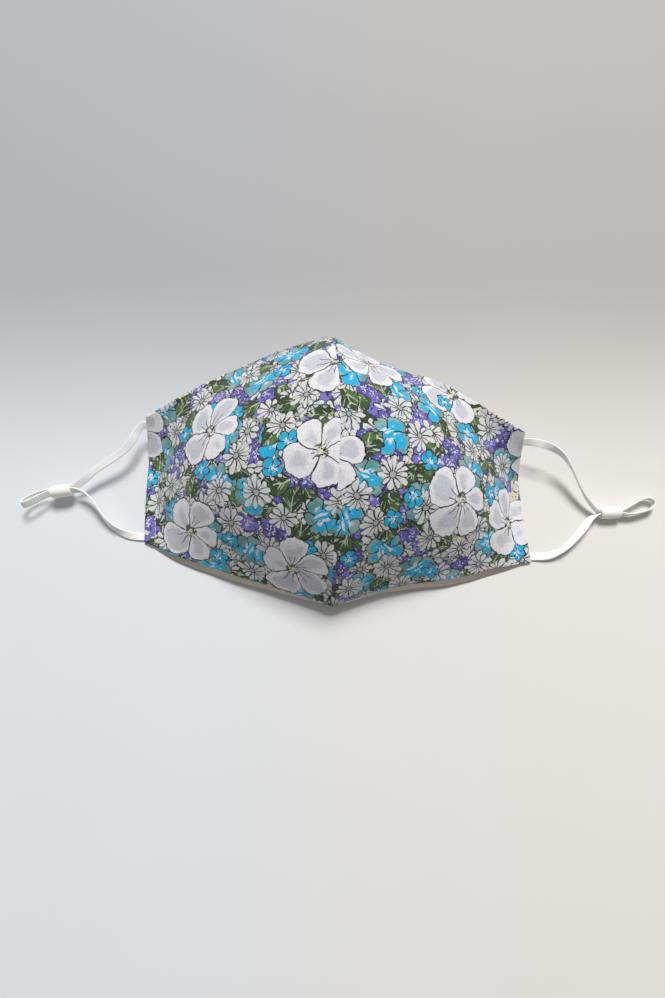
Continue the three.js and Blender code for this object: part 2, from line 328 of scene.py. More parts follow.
def outer_point(side, u, v, sizes):
    """The outer face before its small folds: u from seam to side edge, v from chin to nose."""
    seam = seam_point(v)
    hem = hem_point(side, v)
    point = seam + (hem - seam) * u[..., None]
    point[..., 1] += EDGE_BOW * smooth_through(NOSE_BOW[side], u) * v**4
    point[..., 1] -= EDGE_BOW * smooth_through(CHIN_BOW[side], u) * (1 - v) ** 4
    hem_top = hem[..., 2] + sizes.cloth
    s = u / HEM_START
    middle = np.sin(np.pi * np.clip(v, 0, 1)) ** FULLNESS
    edge_fall = fall_share(EDGE_STRAIGHT, EDGE_POWER, s)
    fall = edge_fall + (fall_share(MIDDLE_STRAIGHT, MIDDLE_POWER, s) - edge_fall) * middle
    rise = seam[..., 2] - hem_top
    drop = rise * fall
    softness = np.minimum(sizes.hem_softness, 0.12 * np.abs(rise))
    rounded = (drop + np.sqrt(drop**2 + softness**2)) / 2
    point[..., 2] = hem_top + rounded
    return point


def outward_normal(side, u, v, sizes):
    step = 1e-3
    u_from = np.minimum(u, 1 - step)
    v_from = np.minimum(v, 1 - step)
    across = outer_point(side, u_from + step, v, sizes) - outer_point(side, u_from, v, sizes)
    along = outer_point(side, u, v_from + step, sizes) - outer_point(side, u, v_from, sizes)
    normal = np.cross(across, along) * HANDS[side]
    at_edge = (u < 1e-9) | (u > 1 - 1e-9)
    normal[..., 0] = np.where(at_edge, 0, normal[..., 0])
    return unit(normal), unit(across), unit(along)


def wave(points, pitch, seed):
    """Smooth seeded unevenness from about -1 to 1, with waves of that pitch."""
    shape = points.shape[:-1]
    flat = points.reshape(-1, 3) / pitch + seed
    values = [noise.noise(Vector(p)) for p in flat]
    return np.array(values).reshape(shape)


def even_steps(count, length, fine):
    """Shares from 0 to 1 in about count steps, with closer ones within a few fine sizes of both ends."""
    near = np.array([0, 0.3, 0.6, 1, 1.5, 2.1, 2.8, 3.6]) * fine / length
    middle = np.linspace(near[-1], 1 - near[-1], count)
    return np.concatenate([near[:-1], middle, 1 - near[:-1][::-1]])


def mesh_object(name, points, faces):
    mesh = bpy.data.meshes.new(name)
    mesh.from_pydata([tuple(p) for p in points], [], faces)
    mesh.validate()
    mesh.update()
    made = bpy.data.objects.new(name, mesh)
    bpy.context.scene.collection.objects.link(made)
    return made


def choose(*objects):
    """Selects only these objects, and makes the first one active."""
    for other in bpy.context.scene.objects:
        other.select_set(False)
    for wanted in objects:
        wanted.select_set(True)
    bpy.context.view_layer.objects.active = objects[0] if objects else None


def shade_smooth(made):
    made.data.polygons.foreach_set("use_smooth", [True] * len(made.data.polygons))


# Shader wiring


class Wiring:
    """Adds nodes to one tree and joins sockets or plain values to their inputs."""

    def __init__(self, tree):
        self.tree = tree
        self.count = 0

    def add(self, kind, inputs=None, **settings):
        node = self.tree.nodes.new(kind)
        node.location = (190 * (self.count // 5), -170 * (self.count % 5))
        self.count += 1
        for name, value in settings.items():
            setattr(node, name, value)
        for key, value in (inputs or {}).items():
            self.feed(node.inputs[key], value)
        return node

    def feed(self, socket, value):
        if isinstance(value, bpy.types.NodeSocket):
            self.tree.links.new(value, socket)
        else:
            socket.default_value = value

    def math(self, operation, *values, clamp=False):
        node = self.add(
            "ShaderNodeMath", dict(enumerate(values)), operation=operation, use_clamp=clamp
        )
        return node.outputs[0]

    def vector(self, operation, *values):
        node = self.add("ShaderNodeVectorMath", dict(enumerate(values)), operation=operation)
        return node.outputs["Value" if operation in ("LENGTH", "DOT_PRODUCT") else "Vector"]

    def spin(self, vector, angle):
        inputs = {"Vector": vector, "Angle": angle}
        return self.add("ShaderNodeVectorRotate", inputs, rotation_type="Z_AXIS").outputs[0]

    def mix(self, factor, first, second, blend="MIX"):
        """Between two colours. Plain colours are given as three numbers."""
        node = self.add("ShaderNodeMix", {0: factor}, data_type="RGBA", blend_type=blend)
        for index, colour in ((6, first), (7, second)):
            is_socket = isinstance(colour, bpy.types.NodeSocket)
            self.feed(node.inputs[index], colour if is_socket else (*colour, 1))
        return node.outputs[2]

    def noise(self, vector, pitch, detail=2, seed=0, rough=0.5):
        """Perlin unevenness around 0.5 with features of about that pitch; seed is a plain shift."""
        moved = self.vector("ADD", vector, (seed, seed * 1.7, seed * 0.3)) if seed else vector
        inputs = {"Vector": moved, "Scale": 1 / pitch, "Detail": detail, "Roughness": rough}
        return self.add("ShaderNodeTexNoise", inputs, noise_dimensions="3D").outputs

    def above(self, value, limit, softness):
        """1 where value is over limit and 0 where it is under, over a soft step."""
        low = limit - softness / 2
        inputs = {"Value": value, 1: low, 2: low + softness, 3: 0, 4: 1}
        return self.add("ShaderNodeMapRange", inputs, interpolation_type="SMOOTHSTEP").outputs[0]

    def group(self, name, **inputs):
        node = self.add("ShaderNodeGroup", node_tree=bpy.data.node_groups[name])
        for label, value in inputs.items():
            self.feed(node.inputs[label.replace("_", " ")], value)
        return node.outputs


def new_group(name, inputs, outputs):
    """An empty group with value or vector inputs and value outputs. Gives its wiring and both ends."""
    tree = bpy.data.node_groups.new(name, "ShaderNodeTree")
    for label, default in inputs.items():
        kind = "NodeSocketVector" if isinstance(default, tuple) else "NodeSocketFloat"
        socket = tree.interface.new_socket(label, in_out="INPUT", socket_type=kind)
        socket.default_value = default
    for label in outputs:
        tree.interface.new_socket(label, in_out="OUTPUT", socket_type="NodeSocketFloat")
    wiring = Wiring(tree)
    return wiring, wiring.add("NodeGroupInput").outputs, wiring.add("NodeGroupOutput").inputs


MASK_EDGE = 0.1  # width in millimetres of the soft edge of a printed shape


def build_motif_place():
    """Scatters motif centres over the cloth. Gives the place within a motif, turned at random."""
    inputs = {
        "Vector": (0.0, 0.0, 0.0),
        "Shift": (0.0, 0.0, 0.0),
        "Spacing": 20.0,
        "Scatter": 0.5,
        "Turn": 0.0,
        "Clump": 24.0,
    }
    w, given, out = new_group("motif place", inputs, ["X", "Y", "Chance", "Tint", "Gathered"])
    moved = w.vector("ADD", given["Vector"], given["Shift"])
    turned = w.spin(moved, given["Turn"])
    density = w.math("DIVIDE", 1, given["Spacing"])
    spots = w.add(
        "ShaderNodeTexVoronoi",
        {"Vector": turned, "Scale": density, "Randomness": given["Scatter"]},
        voronoi_dimensions="2D",
        feature="F1",
    ).outputs
    offset = w.vector("SUBTRACT", turned, spots["Position"])
    chances = w.add("ShaderNodeSeparateColor", {"Color": spots["Color"]}).outputs
    angle = w.math("MULTIPLY", chances[0], 2 * math.pi)
    local = w.add("ShaderNodeSeparateXYZ", {"Vector": w.spin(offset, angle)}).outputs
    clump = w.add(
        "ShaderNodeTexNoise",
        {"Vector": spots["Position"], "Scale": w.math("DIVIDE", 1, given["Clump"]), "Detail": 0},
        noise_dimensions="2D",
    ).outputs[0]
    w.feed(out["X"], local["X"])
    w.feed(out["Y"], local["Y"])
    w.feed(out["Chance"], chances[1])
    w.feed(out["Tint"], chances[2])
    w.feed(out["Gathered"], clump)


def build_petal_flower():
    """A flower of rounded petals round (0, 0), with a pen line round and between the petals."""
    inputs = {
        "X": 0.0,
        "Y": 0.0,
        "Petals": 5.0,
        "Radius": 10.0,
        "Notch": 0.5,
        "Roundness": 3.0,
        "Unevenness": 0.2,
        "Pen": 0.4,
        "Inner": 0.1,
        "Swirl": 0.0,
        "Seed": 0.0,
    }
    outputs = ["Fill", "Line", "Along", "Axis", "Petal", "Distance"]
    w, given, out = new_group("petal flower", inputs, outputs)
    place = w.add("ShaderNodeCombineXYZ", {"X": given["X"], "Y": given["Y"]}).outputs[0]
    distance = w.vector("LENGTH", place)
    angle = w.math("ARCTAN2", given["Y"], given["X"])
    turn = w.math("DIVIDE", angle, 2 * math.pi)
    swirl = w.math("MULTIPLY", w.math("DIVIDE", distance, given["Radius"]), given["Swirl"])
    phase = w.math("MULTIPLY", w.math("ADD", turn, given["Seed"]), 2 * math.pi)
    crowd = w.math("MULTIPLY_ADD", w.math("SINE", phase), 0.035, swirl)
    turn = w.math("FRACT", w.math("ADD", turn, crowd))
    step = w.math("MULTIPLY", turn, given["Petals"])
    number = w.math("FLOOR", step)
    off_axis = w.math("SUBTRACT", w.math("SUBTRACT", step, number), 0.5)
    axis = w.math("MULTIPLY", w.math("ABSOLUTE", off_axis), 2)
    seed = w.add("ShaderNodeCombineXYZ", {"X": number, "Y": given["Seed"]}).outputs[0]
    petal = w.add("ShaderNodeTexWhiteNoise", {"Vector": seed}, noise_dimensions="2D").outputs["Value"]
    notch = w.math("MULTIPLY", w.math("POWER", axis, given["Roundness"]), given["Notch"])
    shape = w.math("SUBTRACT", 1, notch)
    uneven = w.math("MULTIPLY_ADD", w.math("SUBTRACT", petal, 0.5), given["Unevenness"], 1)
    rim = w.math("MULTIPLY", w.math("MULTIPLY", shape, uneven), given["Radius"])
    gap = w.math("SUBTRACT", rim, distance)
    fill = w.math("MULTIPLY_ADD", gap, 1 / MASK_EDGE, 0.5, clamp=True)
    half_pen = w.math("MULTIPLY", given["Pen"], 0.5)
    off_rim = w.math("SUBTRACT", half_pen, w.math("ABSOLUTE", gap))
    rim_line = w.math("MULTIPLY_ADD", off_rim, 1 / MASK_EDGE, 0.5, clamp=True)
    wedge = w.math("MULTIPLY", w.math("SUBTRACT", 1, axis), distance)
    between = w.math("DIVIDE", w.math("MULTIPLY", wedge, math.pi), given["Petals"])
    off_border = w.math("SUBTRACT", w.math("MULTIPLY", half_pen, 0.9), between)
    border = w.math("MULTIPLY_ADD", off_border, 1 / MASK_EDGE, 0.5, clamp=True)
    along = w.math("DIVIDE", distance, rim)
    outside = w.math("GREATER_THAN", along, given["Inner"])
    parting = w.math("MULTIPLY", w.math("MULTIPLY", border, outside), fill)
    w.feed(out["Fill"], fill)
    w.feed(out["Line"], w.math("MAXIMUM", rim_line, parting))
    w.feed(out["Along"], along)
    w.feed(out["Axis"], axis)
    w.feed(out["Petal"], petal)
    w.feed(out["Distance"], distance)


def build_leaf():
    """A pointed leaf along X with a pen line, a midrib and loose brush strokes beside it."""
    inputs = {"X": 0.0, "Y": 0.0, "Length": 15.0, "Width": 4.0, "Pen": 0.4, "Seed": 0.0}
    w, given, out = new_group("leaf", inputs, ["Fill", "Line", "Vein", "Side"])
    t = w.math("DIVIDE", given["X"], w.math("MULTIPLY", given["Length"], 0.5))
    round_part = w.math("SUBTRACT", 1, w.math("MULTIPLY", t, t))
    lean = w.math("MULTIPLY_ADD", t, -0.35, 1)
    edge = w.math("MULTIPLY", w.math("MULTIPLY", round_part, lean), given["Width"])
    bend = w.math("MULTIPLY_ADD", given["Seed"], 3.6, -1.8)
    bent = w.math("MULTIPLY_ADD", w.math("MULTIPLY", t, t), bend, given["Y"])
    aside = w.math("ABSOLUTE", bent)
    gap = w.math("SUBTRACT", edge, aside)
    fill = w.math("MULTIPLY_ADD", gap, 1 / MASK_EDGE, 0.5, clamp=True)
    half_pen = w.math("MULTIPLY", given["Pen"], 0.5)
    off_rim = w.math("SUBTRACT", half_pen, w.math("ABSOLUTE", gap))
    line = w.math("MULTIPLY_ADD", off_rim, 1 / MASK_EDGE, 0.5, clamp=True)
    rib_width = w.math("MULTIPLY_ADD", t, -0.16, 0.22)
    rib = w.math("MULTIPLY_ADD", w.math("SUBTRACT", rib_width, aside), 1 / MASK_EDGE, 0.5, clamp=True)
    swept = w.math("MULTIPLY_ADD", aside, -1.1, given["X"])
    stroke_place = w.add(
        "ShaderNodeCombineXYZ",
        {"X": w.math("MULTIPLY", swept, 0.8), "Y": w.math("MULTIPLY", bent, 0.22), "Z": given["Seed"]},
    ).outputs[0]
    strokes = w.add("ShaderNodeTexNoise", {"Vector": stroke_place, "Scale": 1.0, "Detail": 1}).outputs[0]
    w.feed(out["Fill"], fill)
    w.feed(out["Line"], line)
    w.feed(out["Vein"], w.math("MULTIPLY", w.math("MAXIMUM", rib, w.above(strokes, 0.6, 0.06)), fill))
    w.feed(out["Side"], w.math("MULTIPLY_ADD", bent, 2.5, 0.5, clamp=True))


def build_weave():
    """Plain weave: threads over and under each other. Vector and Pitch are in millimetres."""
    w, given, out = new_group("plain weave", {"Vector": (0.0, 0.0, 0.0), "Pitch": 0.36}, ["Height"])
    scaled = w.vector("SCALE", given["Vector"])
    w.feed(scaled.node.inputs["Scale"], w.math("DIVIDE", math.pi, given["Pitch"]))
    parts = w.add("ShaderNodeSeparateXYZ", {"Vector": scaled}).outputs
    warp = w.math("SINE", parts["X"])
    weft = w.math("SINE", parts["Y"])
    over = w.math("GREATER_THAN", w.math("MULTIPLY", warp, weft), 0)
    warp_height = w.math("MULTIPLY", w.math("ABSOLUTE", warp), over)
    weft_height = w.math("MULTIPLY", w.math("ABSOLUTE", weft), w.math("SUBTRACT", 1, over))
    w.feed(out["Height"], w.math("ADD", warp_height, weft_height))


def build_knit():
    """Knitted elastic: ribs along the strap with slanted stitches. All lengths in millimetres."""
    inputs = {"Vector": (0.0, 0.0, 0.0), "Rib": 0.63, "Stitch": 0.5}
    w, given, out = new_group("knitted ribs", inputs, ["Height"])
    parts = w.add("ShaderNodeSeparateXYZ", {"Vector": given["Vector"]}).outputs
    across = w.math("DIVIDE", parts["X"], given["Rib"])
    crest = w.math("ABSOLUTE", w.math("SINE", w.math("MULTIPLY", across, math.pi)))
    slant = w.math("PINGPONG", across, 0.5)
    along = w.math("DIVIDE", parts["Y"], given["Stitch"])
    ripple = w.math("SINE", w.math("MULTIPLY", w.math("ADD", along, slant), 2 * math.pi))
    w.feed(out["Height"], w.math("MULTIPLY_ADD", ripple, 0.3, crest))


def build_unevenness():
    """Slow and fine unevenness of a surface around 1, by Amount."""
    inputs = {"Vector": (0.0, 0.0, 0.0), "Pitch": 0.01, "Amount": 0.05}
    w, given, out = new_group("unevenness", inputs, ["Factor"])
    density = w.math("DIVIDE", 1, given["Pitch"])
    field = w.add("ShaderNodeTexNoise", {"Vector": given["Vector"], "Scale": density, "Detail": 4}).outputs[0]
    w.feed(out["Factor"], w.math("MULTIPLY_ADD", w.math("SUBTRACT", field, 0.5), given["Amount"], 1))


def build_groups():
    if "motif place" in bpy.data.node_groups:
        return
    build_motif_place()
    build_petal_flower()
    build_leaf()
    build_weave()
    build_knit()
    build_unevenness()


def new_material(name, roughness, sheen=0.0):
    """A material with plain values set on its shader. Gives it, its wiring and the shader."""
    build_groups()
    material = bpy.data.materials.new(name)
    material.use_nodes = True
    w = Wiring(material.node_tree)
    shader = material.node_tree.nodes["Principled BSDF"]
    shader.location = (1400, 300)
    shader.inputs["Roughness"].default_value = roughness
    shader.inputs["Sheen Weight"].default_value = sheen
    return material, w, shader


def finish(made, *materials):
    """Gives a piece these materials and no others."""
    made.data.materials.clear()
    for material in materials:
        made.data.materials.append(material)


def map_in_millimetres(w, name):
    """The piece's own map, whose unit is a metre, in millimetres."""
    flat = w.add("ShaderNodeUVMap", uv_map=name).outputs[0]
    scaled = w.vector("SCALE", flat)
    scaled.node.inputs["Scale"].default_value = 1 / MM
    return scaled


def bump(w, shader, height, depth, strength=1.0):
    inputs = {"Height": height, "Distance": depth, "Strength": strength}
    w.feed(shader.inputs["Normal"], w.add("ShaderNodeBump", inputs).outputs[0])


# The floral print


class FloralPrint:
    """Lays one printed layer on another: ground, daisies, florets, leaves and blossoms."""

    def __init__(self, w, cloth, settings):
        self.w = w
        self.inks = settings
        wobble = w.noise(cloth, 5.5, detail=2)["Color"]
        centred = w.vector("SUBTRACT", wobble, (0.5, 0.5, 0.5))
        drift = w.vector("SCALE", centred)
        drift.node.inputs["Scale"].default_value = 2.8
        self.cloth = w.vector("ADD", cloth, drift)
        self.brush = w.noise(cloth, 2.4, detail=2, seed=31)[0]
        self.wash = w.noise(cloth, 7.5, detail=2, seed=57)[0]
        self.grain = w.noise(cloth, 0.9, detail=1, seed=11)[0]
        frill = w.noise(cloth, 1.5, detail=1, seed=23)[0]
        self.frill = w.math("MULTIPLY_ADD", frill, 1.3, -0.65)
        self.pen = w.math("MULTIPLY_ADD", self.brush, settings.pen * 1.4, settings.pen * 0.3)
        self.colour = None

    def place(self, spacing, scatter, turn, shift, clump=24):
        return self.w.group(
            "motif place",
            Vector=self.cloth,
            Shift=(shift[0], shift[1], 0),
            Spacing=spacing,
            Scatter=scatter,
            Turn=math.radians(turn),
            Clump=clump,
        )

    def flower(self, spot, petals, radius, notch, roundness, uneven=0.2, inner=0.1, swirl=0.0, ruffle=0.2):
        w = self.w
        edge = w.math("MULTIPLY_ADD", self.brush, radius * ruffle, self.frill)
        edge = w.math("ADD", edge, radius * (1 - ruffle / 2))
        return w.group(
            "petal flower",
            X=spot["X"],
            Y=spot["Y"],
            Petals=petals,
            Radius=edge,
            Notch=notch,
            Roundness=roundness,
            Unevenness=uneven,
            Pen=self.pen,
            Inner=inner,
            Swirl=swirl,
            Seed=spot["Tint"],
        )

    def under(self, value, limit, softness):
        """1 where value is under limit and 0 where it is over, over a soft step."""
        return self.w.math("SUBTRACT", 1, self.w.above(value, limit, softness))

    def both(self, *masks):
        result = masks[0]
        for mask in masks[1:]:
            result = self.w.math("MULTIPLY", result, mask)
        return result

    def tint(self, colour, mask, strength, ink):
        return self.w.mix(self.w.math("MULTIPLY", mask, strength), colour, ink)

    def lay(self, spot, share, fill, line, colour, gathered=None):
        """Lays a coloured shape and its pen line, on that share of the spots."""
        w = self.w
        chosen = w.math("LESS_THAN", spot["Chance"], share)
        if gathered is not None:
            chosen = self.both(chosen, w.math("GREATER_THAN", spot["Gathered"], gathered))
        self.colour = w.mix(w.math("MULTIPLY", fill, chosen), self.colour, colour)
        self.colour = w.mix(w.math("MULTIPLY", line, chosen), self.colour, self.inks.ink)

    def ground(self):
        w = self.w
        spots = w.add(
            "ShaderNodeTexVoronoi",
            {"Vector": self.cloth, "Scale": 1 / 5.5, "Randomness": 1},
            voronoi_dimensions="2D",
        ).outputs
        chance = w.add("ShaderNodeSeparateColor", {"Color": spots["Color"]}).outputs
        base = w.mix(w.above(chance[0], 0.6, 0.02), self.inks.violet, self.inks.leaf_dark)
        base = w.mix(w.above(chance[1], 0.58, 0.02), base, self.inks.sage)
        base = w.mix(w.above(chance[2], 0.84, 0.02), base, self.inks.cream)
        self.colour = w.mix(w.above(self.brush, 0.6, 0.05), base, self.inks.ink)

    def violet_florets(self, spacing, share, turn, shift, radius, gathered):
        w = self.w
        spot = self.place(spacing, 0.5, turn, shift, clump=20)
        shape = self.flower(spot, 5, radius, 0.32, 2.2, inner=0.5)
        tone = w.mix(w.above(spot["Tint"], 0.5, 0.4), self.inks.indigo, self.inks.violet)
        tone = self.tint(tone, w.above(self.wash, 0.52, 0.08), 0.5, self.inks.violet)
        streak = self.both(w.above(self.grain, 0.57, 0.06), self.under(shape["Along"], 0.6, 0.3))
        tone = self.tint(tone, streak, 0.85, self.inks.petal)
        line = self.both(shape["Line"], w.above(self.brush, 0.46, 0.06))
        self.lay(spot, share, shape["Fill"], line, tone, gathered)

    def leaves(self, spacing, share, turn, shift, length, width):
        w = self.w
        spot = self.place(spacing, 0.45, turn, shift)
        edge = w.math("MULTIPLY_ADD", self.brush, width * 0.7, width * 0.65)
        shape = w.group(
            "leaf", X=spot["X"], Y=spot["Y"], Length=length, Width=edge, Pen=self.pen, Seed=spot["Tint"]
        )
        tone = w.mix(shape["Side"], self.inks.leaf_dark, self.inks.leaf)
        tone = self.tint(tone, w.above(self.wash, 0.5, 0.12), 0.8, self.inks.leaf_dark)
        tone = self.tint(tone, self.both(shape["Vein"], w.above(self.brush, 0.44, 0.1)), 0.85, self.inks.pale_leaf)
        self.lay(spot, share, shape["Fill"], shape["Line"], tone)

    def daisies(self, spacing, share, turn, shift, radius, petals=11, gathered=None):
        w = self.w
        spot = self.place(spacing, 0.55, turn, shift)
        shape = self.flower(spot, petals, radius, 0.56, 2.8, uneven=0.4, inner=0.26, swirl=0.02)
        shade = self.both(w.above(self.wash, 0.47, 0.12), self.under(shape["Along"], 0.6, 0.5))
        tone = self.tint(self.inks.daisy, shade, 0.7, self.inks.petal_shade)
        streak = self.both(self.under(shape["Axis"], 0.3, 0.3), w.above(self.grain, 0.6, 0.06))
        tone = self.tint(tone, self.both(streak, self.under(shape["Along"], 0.75, 0.2)), 0.7, self.inks.sage)
        ring_off = w.math("ABSOLUTE", w.math("SUBTRACT", shape["Distance"], radius * 0.2))
        ring = w.math("SUBTRACT", self.inks.pen * 0.35, ring_off)
        ring = w.math("MULTIPLY_ADD", ring, 1 / MASK_EDGE, 0.5, clamp=True)
        heart = self.under(shape["Distance"], radius * 0.19, 0.2)
        tone = self.tint(tone, heart, 0.8, self.inks.sage)
        self.lay(spot, share, shape["Fill"], w.math("MAXIMUM", shape["Line"], ring), tone, gathered)

    def teal_blossoms(self, spacing, share, turn, shift, radius):
        w = self.w
        spot = self.place(spacing, 0.4, turn, shift)
        shape = self.flower(spot, 5, radius, 0.26, 3.0, uneven=0.3, inner=0.35, swirl=0.05, ruffle=0.3)
        rim_shade = w.above(self.wash, 0.5, 0.14)
        tone = self.tint(self.inks.teal, rim_shade, 0.75, self.inks.pale_teal)
        reach = w.math("MULTIPLY_ADD", shape["Petal"], 0.5, w.math("MULTIPLY", spot["Tint"], 0.42))
        reach = w.math("ADD", reach, 0.24)
        spread = w.math("MULTIPLY_ADD", w.math("SUBTRACT", self.brush, 0.5), 0.5, shape["Along"])
        spread = w.math("MULTIPLY_ADD", shape["Axis"], 0.14, spread)
        bright = self.under(w.math("SUBTRACT", spread, reach), 0.0, 0.09)
        tone = self.tint(tone, bright, 1, self.inks.cyan)
        tone = self.tint(tone, self.both(bright, w.above(self.grain, 0.6, 0.1)), 0.35, self.inks.teal)
        stroke = w.add(
            "ShaderNodeCombineXYZ", {"X": w.math("MULTIPLY", spot["X"], 0.3), "Y": spot["Y"], "Z": spot["Tint"]}
        ).outputs[0]
        strokes = w.above(w.noise(stroke, 1.9, detail=1, seed=5)[0], 0.56, 0.05)
        streak = self.both(strokes, self.under(shape["Along"], 0.5, 0.3), w.above(self.brush, 0.42, 0.05))
        tone = self.tint(tone, streak, 0.95, self.inks.petal)
        self.lay(spot, share, shape["Fill"], shape["Line"], tone)

    def cyan_florets(self, spacing, share, turn, shift, radius):
        w = self.w
        spot = self.place(spacing, 0.5, turn, shift)
        shape = self.flower(spot, 5, radius, 0.42, 2.4, uneven=0.3, inner=0.4)
        heart = self.under(shape["Distance"], radius * 0.42, 0.5)
        tone = self.tint(self.inks.cyan, w.above(self.brush, 0.6, 0.08), 0.5, self.inks.teal)
        tone = self.tint(tone, self.both(heart, w.above(self.grain, 0.52, 0.05)), 0.95, self.inks.petal)
        self.lay(spot, share, shape["Fill"], shape["Line"], tone)

    def white_blossoms(self, spacing, share, turn, shift, radius):
        w = self.w
        spot = self.place(spacing, 0.3, turn, shift)
        shape = self.flower(spot, 5, radius, 0.4, 4.0, uneven=0.26, inner=0.14, swirl=0.04, ruffle=0.1)
        inward = w.math("POWER", w.math("MULTIPLY", w.math("SUBTRACT", shape["Along"], 0.52), 2.4), 2)
        aside = w.math("POWER", w.math("MULTIPLY", shape["Axis"], 1.25), 2)
        pool = w.math("SUBTRACT", w.math("SUBTRACT", w.math("MULTIPLY", self.wash, 2.2), inward), aside)
        pool = w.math("MULTIPLY_ADD", shape["Petal"], 0.9, pool)
        tone = self.tint(self.inks.petal, w.above(pool, 1.05, 0.6), 0.9, self.inks.petal_shade)
        hatch_off = w.math("ABSOLUTE", w.math("SUBTRACT", shape["Axis"], 0.34))
        hatch_arc = w.math("MULTIPLY", hatch_off, w.math("MULTIPLY", shape["Distance"], math.pi / 5))
        hatch = w.math("SUBTRACT", self.inks.pen * 0.3, hatch_arc)
        hatch = w.math("MULTIPLY_ADD", hatch, 1 / MASK_EDGE, 0.5, clamp=True)
        reach = w.math("MULTIPLY_ADD", shape["Petal"], 0.4, 0.15)
        short = w.math("LESS_THAN", shape["Along"], reach)
        hatch = self.both(hatch, short, w.math("GREATER_THAN", shape["Along"], 0.18))
        heart = self.under(shape["Distance"], radius * 0.13, 0.6)
        tone = self.tint(tone, heart, 0.7, self.inks.cream)
        near = self.both(self.under(shape["Distance"], radius * 0.2, 1.0), w.above(shape["Distance"], 0.8, 0.4))
        tone = self.tint(tone, self.both(near, w.above(self.brush, 0.53, 0.05)), 0.9, self.inks.leaf_dark)
        grains = self.both(near, w.above(self.grain, 0.6, 0.05))
        line = w.math("MAXIMUM", w.math("MAXIMUM", shape["Line"], hatch), grains)
        self.lay(spot, share, shape["Fill"], line, tone)

    def whole(self):
        self.ground()
        self.daisies(13.2, 0.97, 26, (31, 8), 6.8)
        self.violet_florets(8.2, 0.96, 12, (3, 40), 4.9, 0.55)
        self.leaves(16.5, 0.85, 33, (0, 0), 15, 4.8)
        self.daisies(18.5, 0.75, 8, (70, 11), 6.8)
        self.violet_florets(8.6, 0.9, 40, (60, 14), 4.7, 0.61)
        self.teal_blossoms(24.5, 0.78, 21, (14, 90), 8.8)
        self.leaves(24, 0.75, 71, (55, 5), 13, 4.8)
        self.daisies(21, 0.75, 52, (31, 66), 7.0, petals=12)
        self.cyan_florets(31, 0.6, 40, (9, 23), 4.8)
        self.white_blossoms(52, 0.85, 17, (24, 12), 17.2)
        self.cyan_florets(50, 0.65, 66, (80, 31), 4.8)
        return self.colour


def floral_cotton(settings):
    material, w, shader = new_material("floral_cotton", roughness=0.86, sheen=0.12)
    cloth = map_in_millimetres(w, "cloth")
    printed = FloralPrint(w, cloth, settings).whole()
    height = w.group("plain weave", Vector=cloth, Pitch=settings.thread)["Height"]
    slub = w.noise(cloth, 0.8, detail=3, seed=83)[0]
    # The weave's low spots between threads come out darker in the colour, as painted shade; the slub noise is the
    # yarn's own uneven tone
    threads = w.math("MULTIPLY_ADD", height, 0.16, w.math("MULTIPLY_ADD", slub, 0.6, 0.6))
    w.feed(shader.inputs["Base Color"], w.mix(1, printed, threads, blend="MULTIPLY"))
    bump(w, shader, height, 0.08 * MM, 0.8)
    return material


def plain_cotton(name, settings, colour):
    material, w, shader = new_material(name, roughness=0.9, sheen=0.1)
    cloth = map_in_millimetres(w, "cloth")
    uneven = w.group("unevenness", Vector=cloth, Pitch=9, Amount=0.08)["Factor"]
    w.feed(shader.inputs["Base Color"], w.mix(1, colour, uneven, blend="MULTIPLY"))
    bump(w, shader, w.group("plain weave", Vector=cloth, Pitch=settings.thread)["Height"], 0.08 * MM, 0.7)
    return material


def knitted_elastic(settings):
    material, w, shader = new_material("knitted_elastic", roughness=0.82, sheen=0.2)
    strap = map_in_millimetres(w, "strap")
    rib = settings.width / MM / settings.ribs
    height = w.group("knitted ribs", Vector=strap, Rib=rib, Stitch=0.55)["Height"]
    # The valleys between the knitted ribs are darkened in the colour: painted shade
    rib_valley_shade = w.math("SUBTRACT", 1, w.above(height, 0.35, 0.5))
    shade = w.math("MULTIPLY_ADD", rib_valley_shade, -0.14, 1)
    uneven = w.group("unevenness", Vector=strap, Pitch=5, Amount=0.05)["Factor"]
    w.feed(shader.inputs["Base Color"], w.mix(1, settings.elastic, w.math("MULTIPLY", shade, uneven), blend="MULTIPLY"))
    bump(w, shader, height, 0.12 * MM, 0.7)
    return material


def soft_silicone(settings):
    material, w, shader = new_material("soft_silicone", roughness=0.42)
    shader.inputs["Subsurface Weight"].default_value = 0.12
    shader.inputs["Subsurface Scale"].default_value = 1.2 * MM
    place = w.add("ShaderNodeTexCoord").outputs["Object"]
    uneven = w.group("unevenness", Vector=place, Pitch=2.4 * MM, Amount=0.07)["Factor"]
    w.feed(shader.inputs["Base Color"], w.mix(1, settings.silicone, uneven, blend="MULTIPLY"))
    smear = w.group("unevenness", Vector=place, Pitch=0.9 * MM, Amount=0.5)["Factor"]
    w.feed(shader.inputs["Roughness"], w.math("MULTIPLY", smear, 0.42))
    bump(w, shader, w.noise(place, 0.35 * MM, detail=3)[0], 0.03 * MM, 0.5)
    return material


def sewing_thread(settings):
    material, w, shader = new_material("sewing_thread", roughness=0.7, sheen=0.2)
    place = w.add("ShaderNodeTexCoord").outputs["Object"]
    uneven = w.group("unevenness", Vector=place, Pitch=0.6 * MM, Amount=0.16)["Factor"]
    w.feed(shader.inputs["Base Color"], w.mix(1, settings.colour, uneven, blend="MULTIPLY"))
    twist = w.add("ShaderNodeTexWave", {"Vector": place, "Scale": 260, "Distortion": 1}, bands_direction="DIAGONAL")
    bump(w, shader, twist.outputs["Fac"], 0.04 * MM, 0.6)
    return material


